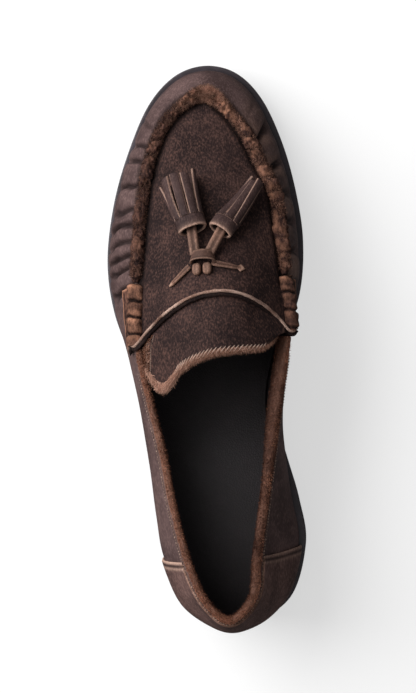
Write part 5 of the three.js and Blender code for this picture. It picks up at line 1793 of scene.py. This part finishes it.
@dataclass
class Tongue(SubAssembly):
    """The tongue with its furry free edge, the whip stitches along it and the rows down its side."""

    thickness: float = 2.2
    widening: float = 2.4
    inner_widening: float = 3.4
    hairs: int = 7000

    def aside(self, a: Array, b: Array) -> Array:
        """How much wider the tongue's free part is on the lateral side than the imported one."""
        return self.widening * smoothstep(0.3, 0.6, a) * (1 - smoothstep(0.0, 0.22, b))

    def uneven(self, points: Array) -> Array:
        """The unevenness of the tongue's face."""
        return 0.35 * soft_noise(points, 13.0, 81) + 0.12 * soft_noise(points, 4.0, 82)

    def build_sheet(self) -> None:
        """The sheet of the tongue."""
        a, b = np.meshgrid(np.linspace(0, 1, 90), np.linspace(0, 1, 110), indexing="ij")
        points = self.last.tongue(a, b)
        free = smoothstep(0.3, 0.6, a)
        points = points + UP * (self.uneven(points) * free)[..., None]
        inwards = self.inner_widening * smoothstep(0.8, 1.0, b) * (1 - smoothstep(0.8, 1.0, a))
        points = points + ACROSS * (inwards - self.aside(a, b))[..., None]
        from_end = np.linalg.norm(points - points[-1:], axis=-1)
        from_side = np.linalg.norm(points - points[:, :1], axis=-1)
        from_far = np.linalg.norm(points - points[:, -1:], axis=-1)
        edge = np.clip(1 - from_end / 2.6, 0, 1) * (0.5 + 0.5 * bell(b, 0.25, 0.12))
        line = 0.3 * bell(from_side, 0.4, 1.0) + 0.6 * bell(from_side, 0.35, 2.9)
        line = line + 0.3 * bell(from_far, 0.4, 1.3)
        marks = {"rub": np.clip(edge + line * free, 0, 1), "painted_shade_and_dark_marks": 0.7 * bell(from_side, 0.4, 1.9)}
        up = np.broadcast_to(UP, points.shape)
        finishes = [self.finishes.brushed, self.finishes.lining, self.finishes.seam]
        skin = Skin(points, marks=marks)
        self.shop.panel("tongue_sheet", skin, up, finishes, Slot.BRUSHED, "tongue", self.thickness, 1, 2)

    def surface(self, a: Array, b: Array) -> tuple[Array, Array, Array]:
        """Points of the tongue's upper face with the directions to its free edge and up from it."""
        last = self.last
        a, b = np.broadcast_arrays(a, b)
        point = last.tongue(a, b)
        back = unit(point - last.tongue(a - 0.02, b))
        across = unit(last.tongue(a, np.minimum(b + 0.01, 1)) - last.tongue(a, np.maximum(b - 0.01, 0)))
        normal = unit(np.cross(across, -back))
        moved = point + UP * self.uneven(point)[..., None] - ACROSS * self.aside(a, b)[..., None]
        return moved, back, normal

    def build_fur(self) -> None:
        """The fur of the free edge, longest and palest at the lateral corner."""
        rng, half = np.random.default_rng(83), self.hairs // 2
        b = np.concatenate([rng.uniform(0, 1, half), rng.beta(1.3, 3.5, self.hairs - half)])
        a = 1 - 0.07 * rng.uniform(0, 1, self.hairs) ** 1.2
        sides = np.arange(self.hairs) % 9 == 0
        a, b = np.where(sides, rng.uniform(0.4, 1, self.hairs), a), np.where(sides, 0.05 * b, b)
        roots, back, normal = self.surface(a, b)
        roots = roots - normal * rng.uniform(0, 1.8, self.hairs)[:, None] * (a > 0.985)[:, None]
        corner = bell(b, 0.16, 0.1)
        length = (1.7 + 1.2 * corner) * rng.uniform(0.55, 1.2, self.hairs)
        lean = back * 1.0 + normal * 0.25 + rng.normal(0, 0.28, (self.hairs, 3))
        lean = lean - 0.9 * ACROSS * sides[:, None]
        z = unit(lean) * length[:, None] * np.where(sides, 0.55, 1.0)[:, None]
        x, y = hair_axes(z, length, 0.17, (0.1, 0.7), rng)
        tones_and_painted_light = 0.34 + 0.5 * corner - 0.6 * sides + rng.normal(0, 0.22, self.hairs)
        mesh = Template.hair().repeated("tongue_fur", roots, x, y, z, np.clip(tones_and_painted_light, 0, 1), self.last)
        self.shop.piece("tongue_fur", mesh, [self.finishes.pale_fur], Slot.RAW)

    def build_stitches(self) -> None:
        """The slanting whip stitches along the free edge, and two rows down the lateral side."""
        last = self.last
        rng = np.random.default_rng(84)
        dense = np.linspace(0.24, 0.83, 400)
        edge = last.tongue(np.full(400, 0.985), dense)
        run = runs(edge)
        b = np.interp(np.arange(0.5, run[-1], 2.05), run, dense)
        low, _, n1 = self.surface(np.full(len(b), 0.985), b)
        high, _, n2 = self.surface(np.full(len(b), 0.915), np.minimum(b + 0.036, 1))
        side_b = np.repeat([[0.022], [0.055]], 40, axis=0)[:, 0]
        side_a = np.tile(np.linspace(0.42, 0.95, 40), 2)
        s0, _, n3 = self.surface(side_a - 0.0045, side_b)
        s1, _, _ = self.surface(side_a + 0.0045, side_b)
        origins = np.concatenate([(low + high) / 2 + n1 * 0.2, (s0 + s1) / 2 + n3 * 0.1])
        reach = np.concatenate([(high - low) * 1.05, (s1 - s0) * 1.1])
        normal = np.concatenate([unit(n1 + n2), n3])
        thick = np.concatenate([np.full(len(b), 0.62), np.full(len(side_b), 0.42)])[:, None]
        x, y, z = reach, unit(np.cross(normal, reach)) * thick, normal * thick
        tones_and_painted_light = np.concatenate([rng.uniform(0.55, 1.0, len(b)), rng.uniform(0.3, 0.7, len(side_b))])
        mesh = Template.stitch().repeated("tongue_stitches", origins, x, y, z, tones_and_painted_light, last)
        self.shop.piece("tongue_stitches", mesh, [self.finishes.thread], Slot.RAW)

    def build(self) -> None:
        """The whole tongue."""
        self.build_sheet()
        self.build_fur()
        self.build_stitches()


# The tassels and their tie


@dataclass(frozen=True)
class Axes:
    """A tassel's place: its middle at the ring, its side, its length direction and its up direction."""

    middle: Array
    side: Array
    along: Array
    up: Array

    def at(self, x: Array, y: Array, z: Array) -> Array:
        """Points at distances along the three directions."""
        x, y, z = (value[..., None] for value in np.broadcast_arrays(x, y, z))
        return self.middle + self.side * x + self.along * y + self.up * z


@dataclass
class Tassel(SubAssembly):
    """One tassel: a rolled cap with a pale rim, its fringe of cut strips and its neck."""

    name: str
    ring: tuple[float, float]
    end: tuple[float, float]
    width: float
    flare: float
    neck: float
    strips: int
    turn: float = 0.0
    cap_depth: float = 6.5
    cap_wall: float = 1.25
    flat: float = 0.72
    strip_thickness: float = 1.1
    neck_radius: float = 2.0
    strip_share: float = 0.84

    def frame(self) -> tuple[Axes, float]:
        """The tassel's place and its length."""
        start, normal = self.last.on_apron(*self.ring)
        finish, _ = self.last.on_apron(*self.end)
        along = finish - start
        length = float(np.linalg.norm(along))
        along = along / length
        up = unit(normal - along * float(normal @ along))
        half = self.width * self.last.ball / 2
        middle = start + up * (half * self.flat + self.last.gap + 0.35)
        return Axes(middle, np.cross(along, up), along, up), length

    def build(self) -> None:
        """The cap, the strips and the neck as one piece."""
        axes, length = self.frame()
        half, flare = self.width * self.last.ball / 2, self.flare * self.last.ball / 2
        rng = np.random.default_rng(int(self.width * 1000))
        strips = [self.strip(axes, half, flare, length, n, rng) for n in range(self.strips)]
        parts = [self.cap(axes, half), *strips, self.neck_strap(axes)]
        mesh = self.shop.join(parts, self.name, 42)
        finishes = [self.finishes.tassel, self.finishes.raw, self.finishes.tie]
        self.shop.piece(f"{self.name}_fringe", mesh, finishes, Slot.TASSEL, (self.name,))

    def cap(self, axes: Axes, half: float) -> bmesh.types.BMesh:
        """The rolled cap: its outside, its pale rim and its hollow, darkened with painted shade."""
        bore, deep = half - self.cap_wall, self.cap_depth
        profile = [
            (bore - 0.8, 4.5, 0.0), (bore - 0.5, 2.6, 0.0), (bore - 0.1, 1.0, 0.1), (bore, 0.15, 0.9),
            (bore + 0.2, -0.15, 1.0), (half - 0.45, -0.2, 1.0), (half - 0.1, 0.0, 1.0), (half, 0.45, 0.5),
            (half + 0.05, 1.2, 0.12), (half + 0.1, 3.0, 0.0), (half + 0.02, 5.0, 0.0),
            (half - 0.1, deep, 0.0), (half - 0.1, deep + 1.2, 0.0),
        ]
        radius, y, rub = (np.array(c)[None, :] for c in zip(*profile))
        angle = np.linspace(0, 2 * math.pi, 49)[:, None]
        uneven = 1 + 0.025 * np.sin(3 * angle + self.turn) + 0.015 * np.sin(7 * angle)
        x, z = radius * uneven * np.cos(angle), radius * uneven * np.sin(angle) * self.flat
        # Painted shade in the cap's hollow.
        inside = np.array([1.0, 1.0, 0.9, 0.2] + [0.0] * 9)[None, :]
        marks = {"rub": rub + 0 * angle, "painted_shade_and_dark_marks": inside + 0 * angle}
        skin = Skin(axes.at(x, y, z), closed_rows=True, marks=marks)
        return self.shop.closed(skin.bmesh(self.last))

    def strip(
        self, axes: Axes, half: float, flare: float, length: float, n: int, rng: np.random.Generator
    ) -> bmesh.types.BMesh:
        """One cut strip of the fringe, flat, with pale cut edges and a slanting end.

        Args:
            axes: The tassel's place.
            half: The cap's radius.
            flare: The fringe's radius at its end.
            length: The tassel's length.
            n: Which strip it is.
            rng: The source of chance.

        Returns:
            The shape.
        """
        width = 2 * math.pi * half * self.strip_share / self.strips
        turn = 2 * math.pi * (n + 0.5) / self.strips + self.turn
        reach = length - ((2 * n) % 3) * 0.9 + rng.uniform(-1.2, 0.8)
        spread, twist, bow = rng.uniform(0.9, 1.08), rng.uniform(-0.2, 0.2), rng.uniform(-0.7, 0.7)
        slant = rng.uniform(-1.1, 1.1)
        t = np.linspace(0, 1, 14)[:, None]
        radius = (half - 0.1) + (flare * spread - half) * t**0.9 + bow * np.sin(math.pi * t)
        swing = turn + twist * t
        w, h, r = width / 2 * (1 + 0.1 * t), self.strip_thickness / 2, 0.22
        inset = r / w[0, 0]
        section = [
            (-1, -h + r, 1), (-1, h - r, 1), (-1 + inset, h, 0), (-0.4, h, 0), (0.0, h, 0), (0.4, h, 0),
            (1 - inset, h, 0), (1, h - r, 1), (1, -h + r, 1), (1 - inset, -h, 0), (0.0, -h, 0),
            (-1 + inset, -h, 0), (-1, -h + r, 1),
        ]
        across, thick, cut = (np.array(c)[None, :] for c in zip(*section))
        cupped = 0.6 * (1 - across**2)
        out = radius + thick - h + cupped
        cos, sin = np.cos(swing), np.sin(swing)
        x = cos * out - sin * across * w
        z = (sin * out + cos * across * w) * self.flat
        y = self.cap_depth - 0.6 + (reach - self.cap_depth + 0.6) * t + slant * across * t**3
        # Painted shade on the strip's underside; the pale cut edges are their own colour.
        marks = {"rub": 0.75 * cut + 0 * t, "painted_shade_and_dark_marks": 0.35 * (thick < 0) + 0 * t}
        skin = Skin(axes.at(x, y, z), closed_columns=True, marks=marks)
        return self.shop.closed(skin.bmesh(self.last), end_material=1)

    def neck_strap(self, axes: Axes) -> bmesh.types.BMesh:
        """The flat folded neck from the cap's hollow to the wrap of the tie."""
        last = self.last
        x, y = Tie.CENTRE
        neck, normal = last.on_apron(x + self.neck, y + (Tie.wrap_length / 2 - 1.6) / last.length)
        start = neck + normal * (self.neck_radius + last.gap + 0.35)
        finish = axes.middle + axes.along * 3.5
        t = np.linspace(0, 1, 20)[:, None]
        line = start + (finish - start) * t + axes.up * 0.5 * np.sin(math.pi * t)
        skin, angle = Course.along(line, axes.up).tube(2.35, 1.35, 22, 0.75), ring_angles(22)
        fold = bell(np.cos(angle), 0.22) * (np.sin(angle) > 0)
        out = unit(skin.points - line[:, None])
        skin = Skin(skin.points - out * (0.55 * fold)[..., None], closed_columns=True)
        # Painted shade in the fold and where the neck runs into the cap's hollow.
        dark = 0.8 * fold + 0 * t + 0.9 * smoothstep(0.7, 0.95, t)
        skin.marks = {"rub": 0.25 * (1 - fold) + 0 * t, "painted_shade_and_dark_marks": np.clip(dark, 0, 1)}
        bm = self.shop.closed(skin.bmesh(last))
        for face in bm.faces:
            face.material_index = 2
        return bm


@dataclass
class Tie(SubAssembly):
    """The wrap on the necks of the tassels, its two knobs and its two pointed ends."""

    wrap_length: float = 5.2
    wrap_width: float = 11.5
    wrap_height: float = 5.2
    wrap_thickness: float = 1.1

    CENTRE = (-0.036, 0.6475)
    ENDS = {
        "tie_end_lateral": ((-0.1, 0.6345), (-0.2, 0.603)),
        "tie_end_medial": ((0.004, 0.6385), (0.157, 0.6255)),
    }
    LOOPS = {"tie_loop_lateral": (-0.0655, 0.6285), "tie_loop_medial": (-0.0175, 0.629)}

    def build_wrap(self) -> None:
        """The band over both necks, broader at its heel side."""
        last = self.last
        point, normal = last.on_apron(*self.CENTRE)
        along = unit(np.array([0.0, 1.0, 0.0]) - normal * normal[1])
        side = -np.cross(normal, along)
        a, b = np.linspace(0, 1, 41)[:, None], np.linspace(0, 1, 13)[None, :]
        turn = math.pi * a
        half = self.wrap_width / 2 * (1.06 - 0.2 * b)
        high = self.wrap_height * (1 - 0.08 * np.abs(2 * b - 1) ** 4)
        middle = point + along * ((b - 0.5) * self.wrap_length)[..., None]
        points = middle + side * (-np.cos(turn) * half)[..., None]
        points = points + normal * (0.6 + np.sin(turn) ** 0.7 * high)[..., None]
        uneven = 0.14 * soft_noise(points, 2.5, 91)
        lip = bell(b, 0.09, 0.06) + 0 * a
        points = points + normal * (uneven + 0.35 * lip)[..., None]
        # Painted shade along the wrap's fold line.
        crease_shade = bell(b, 0.06, 0.22) + 0 * a
        rub = np.clip(0.35 * lip + 0.25 * bell(b, 0.1, 0.9), 0, 1) + 0 * a
        skin = Skin(points, marks={"rub": rub, "painted_shade_and_dark_marks": 0.75 * crease_shade})
        finish, thickness = [self.finishes.tie], self.wrap_thickness
        self.shop.panel("wrap", skin, unit(points - middle), finish, Slot.TASSEL, "tie_wrap", thickness)

    def lying(self, start: tuple, finish: tuple, count: int) -> tuple[Array, Array]:
        """Points on the apron between two places, with the apron's normal."""
        start, finish = np.array(start), np.array(finish)
        places = start + (finish - start) * np.linspace(0, 1, count)[:, None]
        found = [self.last.on_apron(x, y) for x, y in places]
        return np.array([point for point, _ in found]), np.array([normal for _, normal in found])

    def build_ends(self) -> None:
        """The pointed ends: a folded strap on the lateral side, and one with a diamond tip on the medial."""
        for name, (start, finish) in self.ENDS.items():
            point, normal = self.lying(start, finish, 9)
            line = resampled(np.concatenate([point, normal], axis=1), 46)
            t = np.linspace(0, 1, 46)
            if name.endswith("medial"):
                tip = np.interp(t, [0, 0.1, 0.7, 0.77, 0.87, 1.0], [1.3, 1.5, 1.0, 0.7, 1.85, 0.12])
            else:
                tip = np.interp(t, [0, 0.12, 0.6, 0.85, 1.0], [1.2, 1.35, 1.15, 1.0, 0.3])
            course = Course.along(line[:, :3] + line[:, 3:] * (0.95 + 0.5 * (1 - t))[:, None], line[:, 3:])
            skin = course.tube(tip, np.full(46, 0.75) * (0.6 + 0.4 * np.minimum(tip, 1.0)), 20, 0.85)
            angle = ring_angles(20)
            fold = bell(np.cos(angle), 0.2) * (np.sin(angle) > 0) * (t < 0.78)[:, None]
            out = unit(skin.points - course.points[:, None])
            skin = Skin(skin.points - out * (0.45 * fold)[..., None], closed_columns=True)
            edge = np.abs(np.cos(angle)) ** 3
            rub = np.clip(0.45 * edge + 0.8 * smoothstep(0.8, 0.9, t)[:, None], 0, 1)
            # Painted shade in the fold; the pale cut edges and tips are their own colour.
            skin.marks = {"rub": rub, "painted_shade_and_dark_marks": 0.75 * fold}
            self.shop.solid(f"{name}_strap", skin, self.finishes.tie, Slot.TASSEL, name)

    def build_loops(self) -> None:
        """The two knobs behind the wrap, each a folded loop."""
        for name, (x, y) in self.LOOPS.items():
            half = 2.7 / self.last.length
            point, normal = self.lying((x, y - half), (x, y + half), 7)
            line = resampled(np.concatenate([point, normal], axis=1), 34)
            t = np.linspace(-1, 1, 34)
            round_end = np.sqrt(np.clip(1 - np.abs(t) ** 3.2, 0.02, 1))
            course = Course.along(line[:, :3] + line[:, 3:] * 1.5, line[:, 3:])
            skin = course.tube(2.05 * round_end, 1.6 * round_end, 22, 0.8)
            out = unit(skin.points - course.points[:, None])
            angle = ring_angles(22)
            fold = bell(np.cos(angle) + 0.25, 0.2) * (np.sin(angle) > 0) + 0 * t[:, None]
            skin = Skin(skin.points - out * (0.35 * fold)[..., None], closed_columns=True)
            # Painted highlight on the knob's top, and painted shade in its fold.
            skin.marks = {"rub": 0.3 * np.clip(np.sin(angle), 0, 1) + 0 * t[:, None], "painted_shade_and_dark_marks": 0.6 * fold}
            self.shop.solid(f"{name}_knob", skin, self.finishes.tie, Slot.TASSEL, name)

    def build(self) -> None:
        """The whole tie."""
        self.build_wrap()
        self.build_ends()
        self.build_loops()


# The studio


@dataclass
class Studio:
    """A pale floor, soft light from the upper left of the picture, and the camera straight above."""

    eye: tuple[float, float, float] = (0.0548, -0.0069, 1.1)
    aim: tuple[float, float, float] = (0.0, 0.0, 0.03)
    picture_up: tuple[float, float, float] = (0.0538, 0.9986, 0.0)
    lens: float = 119.0
    floor_size: float = 6.0
    floor_glow: float = 0.58
    sky: float = 0.17

    def build_camera(self) -> None:
        """The camera, turned so that the shoe stands as in the photograph."""
        camera = bpy.data.objects.new("camera", bpy.data.cameras.new("camera"))
        bpy.context.scene.collection.objects.link(camera)
        camera.data.lens = self.lens
        camera.data.sensor_width = 36.0
        camera.data.clip_start, camera.data.clip_end = 0.05, 20.0
        back = (Vector(self.eye) - Vector(self.aim)).normalized()
        right = Vector(self.picture_up).cross(back).normalized()
        up = back.cross(right)
        turned = np.eye(4)
        turned[:3, 0], turned[:3, 1], turned[:3, 2] = right, up, back
        turned[:3, 3] = self.eye
        camera.matrix_world = Matrix(turned.tolist())
        bpy.context.scene.camera = camera

    def light(self, name: str, place: tuple[float, float, float], size: float, power: float) -> None:
        """A square soft light that looks at the shoe.

        Args:
            name: The light's name.
            place: Where it is, in metres.
            size: Its side, in metres.
            power: In watts.
        """
        data = bpy.data.lights.new(name, "AREA")
        data.shape, data.size, data.energy = "SQUARE", size, power
        obj = bpy.data.objects.new(name, data)
        bpy.context.scene.collection.objects.link(obj)
        obj.location = place
        obj.rotation_euler = (Vector(self.aim) - Vector(place)).to_track_quat("-Z", "Y").to_euler()

    def build_floor(self) -> None:
        """The pale floor, which isn't part of the shoe."""
        bm = bmesh.new()
        bmesh.ops.create_grid(bm, x_segments=2, y_segments=2, size=self.floor_size / 2)
        mesh = bpy.data.meshes.new("floor")
        bm.to_mesh(mesh)
        bm.free()
        floor = bpy.data.objects.new("floor", mesh)
        bpy.context.scene.collection.objects.link(floor)
        dye = Dye("floor_white")
        tone_and_painted_light = dye.mix(dye.noise(dye.place(), 240.0), (0.42, 0.42, 0.42), (0.43, 0.43, 0.43))
        dye.feed(Base_Color=tone_and_painted_light, Roughness=0.9, Specular_IOR_Level=0.1)
        dye.feed(Emission_Color=(1.0, 1.0, 1.0), Emission_Strength=self.floor_glow)
        mesh.materials.append(dye.material)
        floor.visible_diffuse = floor.visible_glossy = False

    def build(self) -> None:
        """The room's light, the lamps and the floor."""
        scene = bpy.context.scene
        scene.view_settings.view_transform = "Standard"
        world = bpy.data.worlds.new("studio")
        world.use_nodes = True
        world.node_tree.nodes["Background"].inputs["Color"].default_value = (1.0, 1.0, 1.0, 1.0)
        world.node_tree.nodes["Background"].inputs["Strength"].default_value = self.sky
        scene.world = world
        self.light("key", (-0.98, 0.55, 0.92), 1.45, 39.0)
        self.light("top", (0.1, -0.1, 1.7), 1.2, 2.5)
        self.build_floor()


def main() -> None:
    """Builds and dresses the whole shoe in its studio."""
    logging.basicConfig(level=logging.INFO, format="%(name)s: %(message)s")
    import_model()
    studio = Studio()
    studio.build_camera()
    last = Last()
    shop = Workshop(last)
    finishes = Finishes()
    Sole(last, shop, finishes).build()
    Upper(last, shop, finishes).build()
    for side in Side:
        Wing(last, shop, finishes, side).build()
    Counter(last, shop, finishes).build()
    Collar(last, shop, finishes).build()
    Tongue(last, shop, finishes).build()
    Tassel(
        last, shop, finishes, "tassel_lateral", (-0.07, 0.691), (-0.145, 0.784), 0.141, 0.181, -0.032, 9
    ).build()
    Tassel(
        last, shop, finishes, "tassel_medial", (0.043, 0.686), (0.226, 0.769), 0.124, 0.07, 0.028, 8, turn=0.3
    ).build()
    Tie(last, shop, finishes).build()
    studio.build()
    LOG.info("%d pieces", shop.count)


if __name__ == "__main__":
    main()
